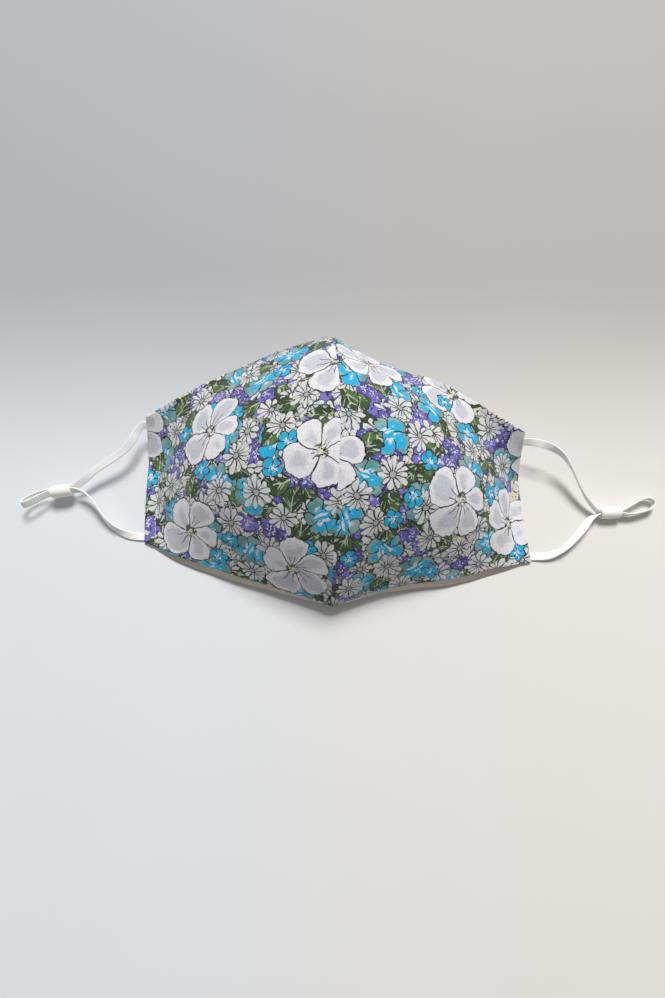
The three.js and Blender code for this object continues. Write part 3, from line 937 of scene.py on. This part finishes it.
def table_top(settings):
    material, w, shader = new_material("table_top", roughness=0.78)
    place = w.add("ShaderNodeTexCoord").outputs["Object"]
    uneven = w.group("unevenness", Vector=place, Pitch=60 * MM, Amount=0.03)["Factor"]
    away = w.add("ShaderNodeSeparateXYZ", {"Vector": place}).outputs
    # Past the nose the table top's colour turns greyer towards the back: painted shade
    tone = w.mix(w.above(away["Y"], 50 * MM, 160 * MM), settings.floor, settings.shaded_far_floor)
    side = w.mix(w.above(away["X"], 0.0, 300 * MM), settings.cool, settings.warm)
    tone = w.mix(1, tone, side, blend="MULTIPLY")
    w.feed(shader.inputs["Base Color"], w.mix(1, tone, uneven, blend="MULTIPLY"))
    return material


# Ear loops


def adjuster_matrix(side):
    """The adjuster's place: its barrel lies along its own Y and the straps stand along its Z."""
    given = ADJUSTERS[side]
    place = Matrix.Translation(Vector(given["place"]) * MM)
    turn = Matrix.Rotation(math.radians(given["heading"] - 90), 4, "Z")
    return place @ turn @ Matrix.Rotation(math.radians(given["lean"]), 4, "Y")


def strap_ends(side, share, cloth):
    """The straight start of a strap, from the side of the hem outwards."""
    out = HANDS[side]
    start = hem_point(side, np.array(share)) + (out * STRAP_END_GAP, 0, cloth / 2)
    return [start + (out * step * STRAP_LEAD, 0, 0) for step in (0, 0.5, 1)]


def strap_route(side, sizes, cloth, adjuster_length):
    """The points and width directions that one ear loop follows, from nose corner to chin corner."""
    frame_of_adjuster = adjuster_matrix(side)
    held_width = np.array((frame_of_adjuster.to_3x3() @ Vector((0, 0, 1))).normalized())
    half_step = (sizes.thickness + STRAND_GAP) / 2
    inset = CORNER_INSET / SIDE_EDGE

    def in_adjuster(along, across, rise):
        place = Vector((-HANDS[side] * across, adjuster_length / 2 + along, rise))
        return np.array(frame_of_adjuster @ place), held_width

    def strand(across):
        return [in_adjuster(-back * adjuster_length, across, 0) for back in (1, 0.5, 0)]

    def sewn(share):
        hem = hem_point(side, np.array(share + HEM_STEP)) - hem_point(side, np.array(share - HEM_STEP))
        along_hem = unit(hem * (0, 1, 1))
        return [(point, along_hem) for point in strap_ends(side, share, cloth)]

    rows = sewn(1 - inset)
    rows += [(np.array(row[:3]) * MM, row[3]) for row in UPPER[side]]
    rows += strand(half_step)
    rows += [in_adjuster(*(value * MM for value in row)) for row in TAIL[side]]
    rows += strand(-half_step)[::-1]
    rows += [(np.array(row[:3]) * MM, row[3]) for row in LOWER[side]]
    rows += sewn(inset)[::-1]

    points = np.array([row[0] for row in rows])
    widths = []
    for i, (_, facing) in enumerate(rows):
        if np.ndim(facing) == 0:
            ahead = points[min(i + 1, len(rows) - 1)] - points[max(i - 1, 0)]
            flat = unit(np.cross((0, 0, 1), ahead))
            angle = math.radians(facing)
            facing = flat * math.cos(angle) + np.array((0, 0, math.sin(angle)))
        if widths and np.dot(facing, widths[-1]) < 0:
            facing = -facing
        widths.append(facing)
    return points, np.array(widths)


def curve_through(points, t):
    """A centripetal curve through the points, at each t from 0 to 1 in even steps of the points."""
    points = np.asarray(points, float)
    padded = np.concatenate([[2 * points[0] - points[1]], points, [2 * points[-1] - points[-2]]])
    place = np.clip(t, 0, 1) * (len(points) - 1)
    i = np.minimum(np.floor(place).astype(int), len(points) - 2)
    f = (place - i)[:, None]
    p0, p1, p2, p3 = (padded[i + k] for k in range(4))
    gap0, gap1, gap2 = (
        np.sqrt(np.linalg.norm(b - a, axis=1))[:, None] for a, b in ((p0, p1), (p1, p2), (p2, p3))
    )
    gap1 = np.where(gap1 < 1e-4, 1, gap1)
    gap0 = np.where(gap0 < 1e-4, gap1, gap0)
    gap2 = np.where(gap2 < 1e-4, gap1, gap2)
    leave = ((p1 - p0) / gap0 - (p2 - p0) / (gap0 + gap1) + (p2 - p1) / gap1) * gap1
    arrive = ((p2 - p1) / gap1 - (p3 - p1) / (gap1 + gap2) + (p3 - p2) / gap2) * gap1
    bend = -3 * p1 + 3 * p2 - 2 * leave - arrive
    twist = 2 * p1 - 2 * p2 + leave + arrive
    return p1 + f * (leave + f * (bend + f * twist))


def strap_section(sizes):
    """The elastic's rounded flat section: across, thickness, and where each point reads the knit."""
    half_width = sizes.width / 2
    half_depth = sizes.thickness / 2
    corner = half_depth * 0.8
    across = []
    depth = []
    for quarter in range(4):
        for step in range(4):
            angle = math.pi / 2 * (quarter + step / 3)
            sign_x = 1 if quarter in (0, 3) else -1
            sign_y = 1 if quarter in (0, 1) else -1
            across.append(sign_x * (half_width - corner) + corner * math.cos(angle))
            depth.append(sign_y * (half_depth - corner) + corner * math.sin(angle))
        if quarter in (0, 2):
            sign = 1 if quarter == 0 else -1
            for share in (0.6, 0.2, -0.2, -0.6):
                across.append(sign * share * (half_width - corner))
                depth.append(sign * half_depth)
    return np.array(across), np.array(depth)


STRAP_STEP = 0.5 * MM
STRAP_TUCK = 1.1 * MM


def make_ear_loop(side, scene):
    sizes = scene.mask_loops
    points, widths = strap_route(side, sizes, scene.mask_panels.cloth, scene.mask_adjusters.length)
    t = np.linspace(0, 1, 4000)
    fine = curve_through(points, t)
    travelled = np.concatenate([[0], np.cumsum(np.linalg.norm(np.diff(fine, axis=0), axis=1))])
    steps = round(travelled[-1] / STRAP_STEP)
    at = np.interp(np.linspace(0, travelled[-1], steps), travelled, t)
    line = curve_through(points, at)
    tuck = np.array((-HANDS[side] * STRAP_TUCK, 0, 0))
    line = np.concatenate([[line[0] + tuck], line, [line[-1] + tuck]])
    at = np.concatenate([[0], at, [1]])
    forward = unit(np.gradient(line, axis=0))
    width = curve_through(widths, at)
    width = unit(width - forward * np.sum(width * forward, axis=1, keepdims=True))
    face = np.cross(forward, width)

    across, depth = strap_section(sizes)
    ring = len(across)
    shell = line[:, None] + width[:, None] * across[None, :, None] + face[:, None] * depth[None, :, None]
    count = len(line)
    faces = []
    for i in range(count - 1):
        for k in range(ring):
            after = (k + 1) % ring
            faces.append((i * ring + k, i * ring + after, (i + 1) * ring + after, (i + 1) * ring + k))
    faces.append(tuple(range(ring - 1, -1, -1)))
    faces.append(tuple((count - 1) * ring + k for k in range(ring)))
    loop = mesh_object(f"ear_loop_{side}_knit", shell.reshape(-1, 3), faces)
    run = np.concatenate([[0], np.cumsum(np.linalg.norm(np.diff(line, axis=0), axis=1))])
    places = [(across[v % ring], run[v // ring]) for v in range(count * ring)]
    set_map(loop, "strap", [places[corner.vertex_index] for corner in loop.data.loops])
    shade_smooth(loop)
    return loop, line


def set_map(made, name, places):
    layer = made.data.uv_layers.new(name=name)
    layer.data.foreach_set("uv", np.asarray(places, float).ravel())


# Adjusters


def make_adjuster_barrel(scene):
    """One silicone barrel along Y at the origin, with its slot, before it is copied to each side."""
    sizes = scene.mask_adjusters
    strap = scene.mask_loops
    choose()
    bpy.ops.mesh.primitive_cylinder_add(
        vertices=48, radius=sizes.end_radius, depth=sizes.length, end_fill_type="NGON", rotation=(math.pi / 2, 0, 0)
    )
    barrel = bpy.context.object
    bpy.ops.object.transform_apply(location=True, rotation=True, scale=True)
    bpy.ops.object.mode_set(mode="EDIT")
    cuts = 12
    for i in range(1, cuts):
        bpy.ops.mesh.select_all(action="SELECT")
        y = sizes.length * (i / cuts - 0.5)
        bpy.ops.mesh.bisect(plane_co=(0, y, 0), plane_no=(0, 1, 0))
    bpy.ops.object.mode_set(mode="OBJECT")
    for i in range(1, cuts):
        y = sizes.length * (i / cuts - 0.5)
        share = 1 - (2 * y / sizes.length) ** 2
        bulge = 1 + (sizes.radius / sizes.end_radius - 1) * share
        select_where(barrel, lambda p: abs(p.y - y) < 0.01 * MM)
        bpy.ops.object.mode_set(mode="EDIT")
        bpy.ops.transform.resize(value=(bulge, 1, bulge))
        bpy.ops.object.mode_set(mode="OBJECT")
    end = sizes.length / 2
    for sign in (-1, 1):
        select_where(barrel, lambda p: abs(p.y - sign * end) < 0.01 * MM)
        bpy.ops.object.mode_set(mode="EDIT")
        bpy.ops.mesh.bevel(offset=0.7 * MM, segments=5, profile=0.5, affect="EDGES")
        bpy.ops.object.mode_set(mode="OBJECT")

    slot_width = 2 * strap.thickness + STRAND_GAP + 2 * sizes.clearance
    slot_height = strap.width + 2 * sizes.clearance
    choose()
    bpy.ops.mesh.primitive_cube_add(size=1, scale=(slot_width, sizes.length * 2, slot_height))
    cutter = bpy.context.object
    bpy.ops.object.transform_apply(location=True, rotation=True, scale=True)
    corners = cutter.modifiers.new("corners", "BEVEL")
    corners.width = 0.5 * MM
    corners.segments = 4
    bpy.ops.object.modifier_apply(modifier=corners.name)
    choose(barrel)
    slot = barrel.modifiers.new("slot", "BOOLEAN")
    slot.operation = "DIFFERENCE"
    slot.solver = "EXACT"
    slot.object = cutter
    bpy.ops.object.modifier_apply(modifier=slot.name)
    bpy.data.objects.remove(cutter)
    lip = barrel.modifiers.new("lip", "BEVEL")
    lip.width = 0.22 * MM
    lip.segments = 3
    lip.limit_method = "ANGLE"
    lip.angle_limit = math.radians(50)
    bpy.ops.object.modifier_apply(modifier=lip.name)
    bpy.ops.object.shade_smooth_by_angle(angle=math.radians(40))
    return barrel


def select_where(made, test):
    """Selects the vertices of a mesh whose place passes the test, for the edit mode that follows."""
    mesh = made.data
    for vertex in mesh.vertices:
        vertex.select = bool(test(vertex.co))
    for edge in mesh.edges:
        edge.select = all(mesh.vertices[v].select for v in edge.vertices)
    for polygon in mesh.polygons:
        polygon.select = all(mesh.vertices[v].select for v in polygon.vertices)


# Panels

# How a rim turns from the outer to the inner face, as shares of the cloth: out and down. The plain
# rim is round. Along the chin the print ends first and the facing runs on below it.
RIM_STEPS = 6
ROUND_RIM = [
    (math.sin(math.pi * k / RIM_STEPS) / 2, (1 - math.cos(math.pi * k / RIM_STEPS)) / 2)
    for k in range(RIM_STEPS + 1)
]
BAND_RIM = [(0, 0), (0.2, 0.08), (0.22, 0.34), (0.04, 0.44), (0, 0.52), (0.16, 0.76), (0, 1)]
BAND_START = 4
BAND_SHARE = [0.3, 0.75, 1, 1, 0.75, 0]  # from seam to hem
BAND_REACH = 12 * MM
FACING_DEPTH = 7 * MM
# FACING marks the chin facing, whose darker beige is partly painted shade under the chin edge
PRINT, LINING, FACING = 0, 1, 2


def flatten(points, side):
    """The outer cloth laid flat: one place in metres for each grid point, seam upright."""
    columns, rows = points.shape[:2]
    index = np.arange(columns * rows).reshape(columns, rows)
    corners = (index[:-1, :-1], index[1:, :-1], index[1:, 1:], index[:-1, 1:])
    faces = np.stack(corners, -1).reshape(-1, 4)
    if HANDS[side] < 0:
        faces = faces[:, ::-1]
    cloth = mesh_object(f"flat_{side}", points.reshape(-1, 3), faces.tolist())
    cloth.data.uv_layers.new(name="flat")
    choose(cloth)
    bpy.ops.object.mode_set(mode="EDIT")
    bpy.ops.mesh.select_all(action="SELECT")
    bpy.ops.uv.unwrap(method="ANGLE_BASED", margin=0)
    bpy.ops.object.mode_set(mode="OBJECT")
    mesh = cloth.data
    spots = np.zeros(len(mesh.loops) * 2)
    mesh.uv_layers["flat"].data.foreach_get("uv", spots)
    owners = np.zeros(len(mesh.loops), int)
    mesh.loops.foreach_get("vertex_index", owners)
    flat = np.zeros((columns * rows, 2))
    flat[owners] = spots.reshape(-1, 2)
    bpy.data.objects.remove(cloth)
    flat = flat.reshape(columns, rows, 2)
    diagonal_a = flat[1:, 1:] - flat[:-1, :-1]
    diagonal_b = flat[:-1, 1:] - flat[1:, :-1]
    turned = diagonal_a[..., 0] * diagonal_b[..., 1] - diagonal_a[..., 1] * diagonal_b[..., 0]
    real_area = np.linalg.norm(
        np.cross(points[1:, 1:] - points[:-1, :-1], points[:-1, 1:] - points[1:, :-1]), axis=-1
    ).sum()
    scale = math.sqrt(real_area / abs(turned.sum()))
    upright = unit(flat[0, -1] - flat[0, 0])
    centre = flat[0, rows // 2]
    sideways = np.array((upright[1], -upright[0]))
    moved = (flat - centre) * scale
    return np.stack([moved @ sideways, moved @ upright], -1)


PRINT_SHIFT = {"left": (0.0, 0.0), "right": (0.31, 0.17)}


def make_panel(side, scene):
    sizes = scene.mask_panels
    radius = sizes.cloth / 2
    width = MASK_WIDTH / 2
    u_line = even_steps(sizes.columns, width, 0.5 * MM) * (1 - radius / width)
    v_line = even_steps(sizes.rows, SEAM_CHORD, 0.5 * MM)
    u, v = np.meshgrid(u_line, v_line, indexing="ij")
    step = 0.01
    ends = [outer_point(side, u_line, np.full(len(u_line), t), sizes) for t in (0, step, 1 - step, 1)]
    chin_inset = radius * step / np.linalg.norm(ends[1] - ends[0], axis=1)
    nose_inset = radius * step / np.linalg.norm(ends[3] - ends[2], axis=1)
    v = chin_inset[:, None] + v * (1 - chin_inset - nose_inset)[:, None]

    base = outer_point(side, u, v, sizes)
    normal, across, along = outward_normal(side, u, v, sizes)
    from_seam = u * width
    from_hem = np.abs(u - HEM_START) * width
    from_edges = np.minimum(v, 1 - v) * SEAM_CHORD
    free = smooth_step(0, 6 * MM, from_seam)
    loose = smooth_step(1, 0.84, u)
    seed = 3.1 if side == "left" else 8.7
    ripple = wave(base * (1, 1, 0.6), 26 * MM, seed) + 0.4 * wave(base, 11 * MM, seed + 5)
    pucker = wave(base * (0.12, 1, 0.12), 3.4 * MM, seed + 2) * np.exp(-from_seam / (5 * MM))
    edge_pucker = wave(base * (1, 0.12, 0.12), 5 * MM, seed + 9) * np.exp(-from_edges / (4 * MM))
    relief = sizes.ripple * ripple * free * loose
    relief += sizes.pucker * pucker * smooth_step(0, 1.2 * MM, from_seam)
    relief += 0.7 * sizes.pucker * edge_pucker * loose
    relief -= sizes.groove * np.exp(-((from_seam / (1.0 * MM)) ** 2))
    relief += 0.18 * MM * smooth_step(5.5 * MM, 4.5 * MM, from_seam)
    relief += 0.18 * MM * smooth_step(5.5 * MM, 4.5 * MM, from_edges) * loose
    outer_relief = relief - 0.22 * MM * np.exp(-((from_hem / (0.7 * MM)) ** 2))
    outer = base + normal * outer_relief[..., None]
    allowance = 0.5 * MM * smooth_step(6.5 * MM, 5.5 * MM, from_seam)
    inner = base + normal * (relief - sizes.cloth - allowance)[..., None]
    band = sizes.band * smooth_through(BAND_SHARE, u[:, 0])
    from_chin = v * SEAM_CHORD
    eased = np.clip(1 - from_chin / BAND_REACH, 0, 1) ** 2
    outer += along * (0.5 * band[:, None] * eased)[..., None]
    inner -= along * (0.5 * band[:, None] * eased)[..., None]
    inner[..., 2] = np.maximum(inner[..., 2], 0.02 * MM)

    flat = flatten(base, side)
    columns, rows = u.shape
    index = np.arange(columns * rows).reshape(columns, rows)
    rim = [(i, 0) for i in range(columns)]
    rim += [(columns - 1, j) for j in range(1, rows)]
    rim += [(i, rows - 1) for i in range(columns - 2, -1, -1)]
    rim += [(0, j) for j in range(rows - 2, 0, -1)]
    out_way = np.zeros_like(base)
    flat_way = np.zeros_like(flat)
    out_way[-1] += across[-1]
    flat_way[-1] += unit(flat[-1] - flat[-2])
    out_way[:, 0] -= along[:, 0]
    flat_way[:, 0] += unit(flat[:, 0] - flat[:, 1])
    out_way[:, -1] += along[:, -1]
    flat_way[:, -1] += unit(flat[:, -1] - flat[:, -2])
    out_way = unit(out_way)
    flat_way = unit(flat_way)

    points = np.concatenate([outer.reshape(-1, 3), inner.reshape(-1, 3)])
    inner_start = columns * rows
    rim_points = []
    for i, j in rim:
        ahead = band[i] if j == 0 else 0
        shown = min(1, ahead / MM)
        start = outer[i, j]
        down = inner[i, j] - start + along[i, j] * ahead
        thick = np.linalg.norm(down)
        for k in range(1, RIM_STEPS):
            out, sunk = np.array(ROUND_RIM[k]) * (1 - shown) + np.array(BAND_RIM[k]) * shown
            beyond = out * thick + (ahead if k >= BAND_START else 0)
            rim_points.append(start + down * sunk + out_way[i, j] * beyond)
    rim_start = len(points)
    points = np.concatenate([points, rim_points])
    points[:, 2] = np.maximum(points[:, 2], 0.02 * MM)

    def rim_vertex(p, k):
        i, j = rim[p]
        if k == 0:
            return index[i, j]
        if k == RIM_STEPS:
            return inner_start + index[i, j]
        return rim_start + p * (RIM_STEPS - 1) + k - 1

    def rim_place(p, k):
        i, j = rim[p]
        return flat[i, j] + flat_way[i, j] * radius * math.pi * k / RIM_STEPS

    quads = np.stack([index[:-1, :-1], index[1:, :-1], index[1:, 1:], index[:-1, 1:]], -1).reshape(-1, 4)
    flat_list = flat.reshape(-1, 2)
    faces = quads.tolist() + (quads[:, ::-1] + inner_start).tolist()
    places = [flat_list[quads], flat_list[quads[:, ::-1]]]
    # Inner faces near the chin take the darker facing colour: painted shade under the chin edge
    inside = np.where(from_chin[1:, 1:] < FACING_DEPTH, FACING, LINING)
    kinds = [PRINT] * len(quads) + inside.ravel().tolist()
    rim_places = []
    for p in range(len(rim)):
        after = (p + 1) % len(rim)
        for k in range(RIM_STEPS):
            corners = ((p, k), (p, k + 1), (after, k + 1), (after, k))
            faces.append([int(rim_vertex(*corner)) for corner in corners])
            rim_places.append([rim_place(*corner) for corner in corners])
            at_chin = rim[p][1] == 0 and rim[after][1] == 0
            printed = 3 if at_chin else RIM_STEPS - 2
            kinds.append(PRINT if k < printed else FACING if at_chin else LINING)
    places.append(np.array(rim_places))
    places = np.concatenate(places) + PRINT_SHIFT[side]
    if HANDS[side] < 0:
        faces = [face[::-1] for face in faces]
        places = places[:, ::-1]
    panel = mesh_object(f"panel_{side}_cloth", points, faces)
    set_map(panel, "cloth", places.reshape(-1, 2))
    shade_smooth(panel)
    return panel, kinds


# Stitches


def hem_line(side, sizes, share_out):
    """Points on the cloth along the stitch line of a side hem, closely spaced, with their normals."""
    v = np.linspace(0.015, 0.985, 600)
    u = np.full(600, HEM_START)
    point = outer_point(side, u, v, sizes)
    normal = outward_normal(side, u, v, sizes)[0]
    return point + normal * share_out, normal


def make_stitches(side, scene):
    sizes = scene.mask_stitches
    choose()
    bpy.ops.mesh.primitive_uv_sphere_add(segments=8, ring_count=7, radius=sizes.thread / 2)
    stitch = bpy.context.object
    bpy.ops.object.mode_set(mode="EDIT")
    bpy.ops.transform.resize(value=(1, 1, 0.8))
    bpy.ops.object.mode_set(mode="OBJECT")
    select_where(stitch, lambda p: p.x > 0.01 * MM)
    bpy.ops.object.mode_set(mode="EDIT")
    bpy.ops.transform.translate(value=((sizes.length - sizes.thread) / 2, 0, 0))
    bpy.ops.object.mode_set(mode="OBJECT")
    select_where(stitch, lambda p: p.x < -0.01 * MM)
    bpy.ops.object.mode_set(mode="EDIT")
    bpy.ops.transform.translate(value=(-(sizes.length - sizes.thread) / 2, 0, 0))
    bpy.ops.object.mode_set(mode="OBJECT")

    copies = []
    for face, sink in ((1, -0.18 * MM), (-1, -scene.mask_panels.cloth + 0.02 * MM)):
        line, normal = hem_line(side, scene.mask_panels, sink)
        travelled = np.concatenate([[0], np.cumsum(np.linalg.norm(np.diff(line, axis=0), axis=1))])
        pitch = sizes.length + sizes.gap
        count = int(travelled[-1] // pitch)
        for n in range(count):
            middle = (n + 0.5) * pitch + (travelled[-1] - count * pitch) / 2
            i = min(int(np.searchsorted(travelled, middle)), len(line) - 2)
            way = Vector(line[i + 1] - line[i - 1]).normalized()
            up = Vector(normal[i]) * face
            aside = up.cross(way).normalized()
            up = way.cross(aside)
            place = Matrix((way, aside, up)).transposed().to_4x4()
            place.translation = Vector(line[i])
            copy = stitch.copy()
            copy.data = stitch.data.copy()
            copy.data.transform(place)
            bpy.context.scene.collection.objects.link(copy)
            copies.append(copy)
    bpy.data.objects.remove(stitch)
    choose(*copies)
    bpy.ops.object.join()
    row = bpy.context.object
    row.name = f"hem_stitches_{side}"
    shade_smooth(row)
    return row


# Operators


class FACE_MASK_OT_camera(bpy.types.Operator):
    """Adds the camera at the photograph's viewing angle"""

    bl_idname = "face_mask.camera"
    bl_label = "Camera"

    def execute(self, context):
        data = bpy.data.cameras.new("photo_camera")
        data.sensor_width = SENSOR
        data.lens = LENS
        data.clip_start = 0.01
        camera = bpy.data.objects.new("photo_camera", data)
        context.scene.collection.objects.link(camera)
        back = Vector((0, -math.cos(VIEW_ELEVATION), math.sin(VIEW_ELEVATION)))
        camera.location = VIEW_TARGET + back * VIEW_DISTANCE
        camera.rotation_mode = "QUATERNION"
        camera.rotation_quaternion = (-back).to_track_quat("-Z", "Y")
        context.scene.camera = camera
        return {"FINISHED"}


class FACE_MASK_OT_adjusters(bpy.types.Operator):
    """Makes the two silicone adjusters that the ear loops run through"""

    bl_idname = "face_mask.adjusters"
    bl_label = "Adjusters"

    def execute(self, context):
        barrel = make_adjuster_barrel(context.scene)
        finish(barrel, soft_silicone(context.scene.mask_adjusters))
        for side in HANDS:
            copy = barrel.copy()
            copy.data = barrel.data.copy()
            copy.name = f"adjuster_{side}_barrel"
            copy.data.transform(adjuster_matrix(side))
            context.scene.collection.objects.link(copy)
            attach(copy, BODY)
            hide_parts(f"adjuster_{side}")
        bpy.data.objects.remove(barrel)
        return {"FINISHED"}


class FACE_MASK_OT_ear_loops(bpy.types.Operator):
    """Makes the two flat elastic ear loops along their routes"""

    bl_idname = "face_mask.ear_loops"
    bl_label = "Ear Loops"

    def execute(self, context):
        elastic = knitted_elastic(context.scene.mask_loops)
        for side in HANDS:
            barrel = bpy.data.objects.get(f"adjuster_{side}_barrel")
            if barrel is None:
                raise RuntimeError(f"make the adjusters first: the {side} ear loop runs through one")
            loop, line = make_ear_loop(side, context.scene)
            finish(loop, elastic)
            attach(loop, BODY)
            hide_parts(f"ear_loop_{side}")
        return {"FINISHED"}


class FACE_MASK_OT_panels(bpy.types.Operator):
    """Makes the two printed cloth panels with their plain lining"""

    bl_idname = "face_mask.panels"
    bl_label = "Panels"

    def execute(self, context):
        inks = context.scene.mask_print
        floral = floral_cotton(inks)
        lining = plain_cotton("plain_lining", inks, inks.lining)
        # The chin facing: a beige strip whose darker colour is partly painted shade under the chin edge
        facing = plain_cotton("shaded_chin_facing", inks, inks.facing)
        for side in HANDS:
            panel, kinds = make_panel(side, context.scene)
            finish(panel, floral, lining, facing)
            panel.data.polygons.foreach_set("material_index", kinds)
            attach(panel, BODY)
            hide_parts(f"panel_{side}")
        return {"FINISHED"}


class FACE_MASK_OT_stitches(bpy.types.Operator):
    """Sews the stitch rows along both side hems"""

    bl_idname = "face_mask.stitches"
    bl_label = "Stitches"

    def execute(self, context):
        thread = sewing_thread(context.scene.mask_stitches)
        for side in HANDS:
            panel = bpy.data.objects.get(f"panel_{side}_cloth")
            if panel is None:
                raise RuntimeError(f"make the panels first: the {side} stitches lie on one")
            row = make_stitches(side, context.scene)
            finish(row, thread)
            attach(row, BODY)
        return {"FINISHED"}


class FACE_MASK_OT_stage(bpy.types.Operator):
    """Adds the pale floor, the window light and the soft fill"""

    bl_idname = "face_mask.stage"
    bl_label = "Stage"

    def execute(self, context):
        settings = context.scene.mask_stage
        choose()
        bpy.ops.mesh.primitive_plane_add(size=6)
        floor = context.object
        floor.name = "floor"
        finish(floor, table_top(settings))

        data = bpy.data.lights.new("window_light", "AREA")
        data.shape = "RECTANGLE"
        data.size = 0.9
        data.size_y = 0.8
        data.energy = settings.window
        window = bpy.data.objects.new("window_light", data)
        context.scene.collection.objects.link(window)
        towards = Vector((0.12, 0.62, 0.80)).normalized()
        window.location = towards * 2.6
        window.rotation_mode = "QUATERNION"
        window.rotation_quaternion = (-towards).to_track_quat("-Z", "Y")

        world = bpy.data.worlds.new("soft_room")
        world.use_nodes = True
        backdrop = world.node_tree.nodes["Background"]
        backdrop.inputs["Color"].default_value = (*settings.sky, 1)
        backdrop.inputs["Strength"].default_value = settings.sky_strength
        context.scene.world = world
        context.scene.view_settings.view_transform = "Standard"
        return {"FINISHED"}


class FACE_MASK_PT_sidebar(bpy.types.Panel):
    """Lists the mask's pieces, with the sizes and colours of each"""

    bl_idname = "FACE_MASK_PT_sidebar"
    bl_label = "Face Mask"
    bl_space_type = "VIEW_3D"
    bl_region_type = "UI"
    bl_category = "Face Mask"

    def draw(self, context):
        for name, operator in PIECES:
            box = self.layout.box()
            box.operator(operator.bl_idname)
            if name is None:
                continue
            settings = getattr(context.scene, name)
            for key in settings.bl_rna.properties.keys():
                if key not in ("rna_type", "name"):
                    box.prop(settings, key)


PIECES = [
    (None, FACE_MASK_OT_camera),
    ("mask_adjusters", FACE_MASK_OT_adjusters),
    ("mask_loops", FACE_MASK_OT_ear_loops),
    ("mask_panels", FACE_MASK_OT_panels),
    ("mask_stitches", FACE_MASK_OT_stitches),
    ("mask_stage", FACE_MASK_OT_stage),
]


def register():
    for name, group in SETTINGS.items():
        bpy.utils.register_class(group)
        setattr(bpy.types.Scene, name, PointerProperty(type=group))
    for _, operator in PIECES:
        bpy.utils.register_class(operator)
    bpy.utils.register_class(FACE_MASK_PT_sidebar)


def unregister():
    bpy.utils.unregister_class(FACE_MASK_PT_sidebar)
    for _, operator in reversed(PIECES):
        bpy.utils.unregister_class(operator)
    for name, group in SETTINGS.items():
        delattr(bpy.types.Scene, name)
        bpy.utils.unregister_class(group)


def main():
    register()
    bpy.ops.face_mask.camera()
    bpy.ops.face_mask.adjusters()
    bpy.ops.face_mask.ear_loops()
    bpy.ops.face_mask.panels()
    bpy.ops.face_mask.stitches()
    bpy.ops.face_mask.stage()


if __name__ == "__main__":
    main()
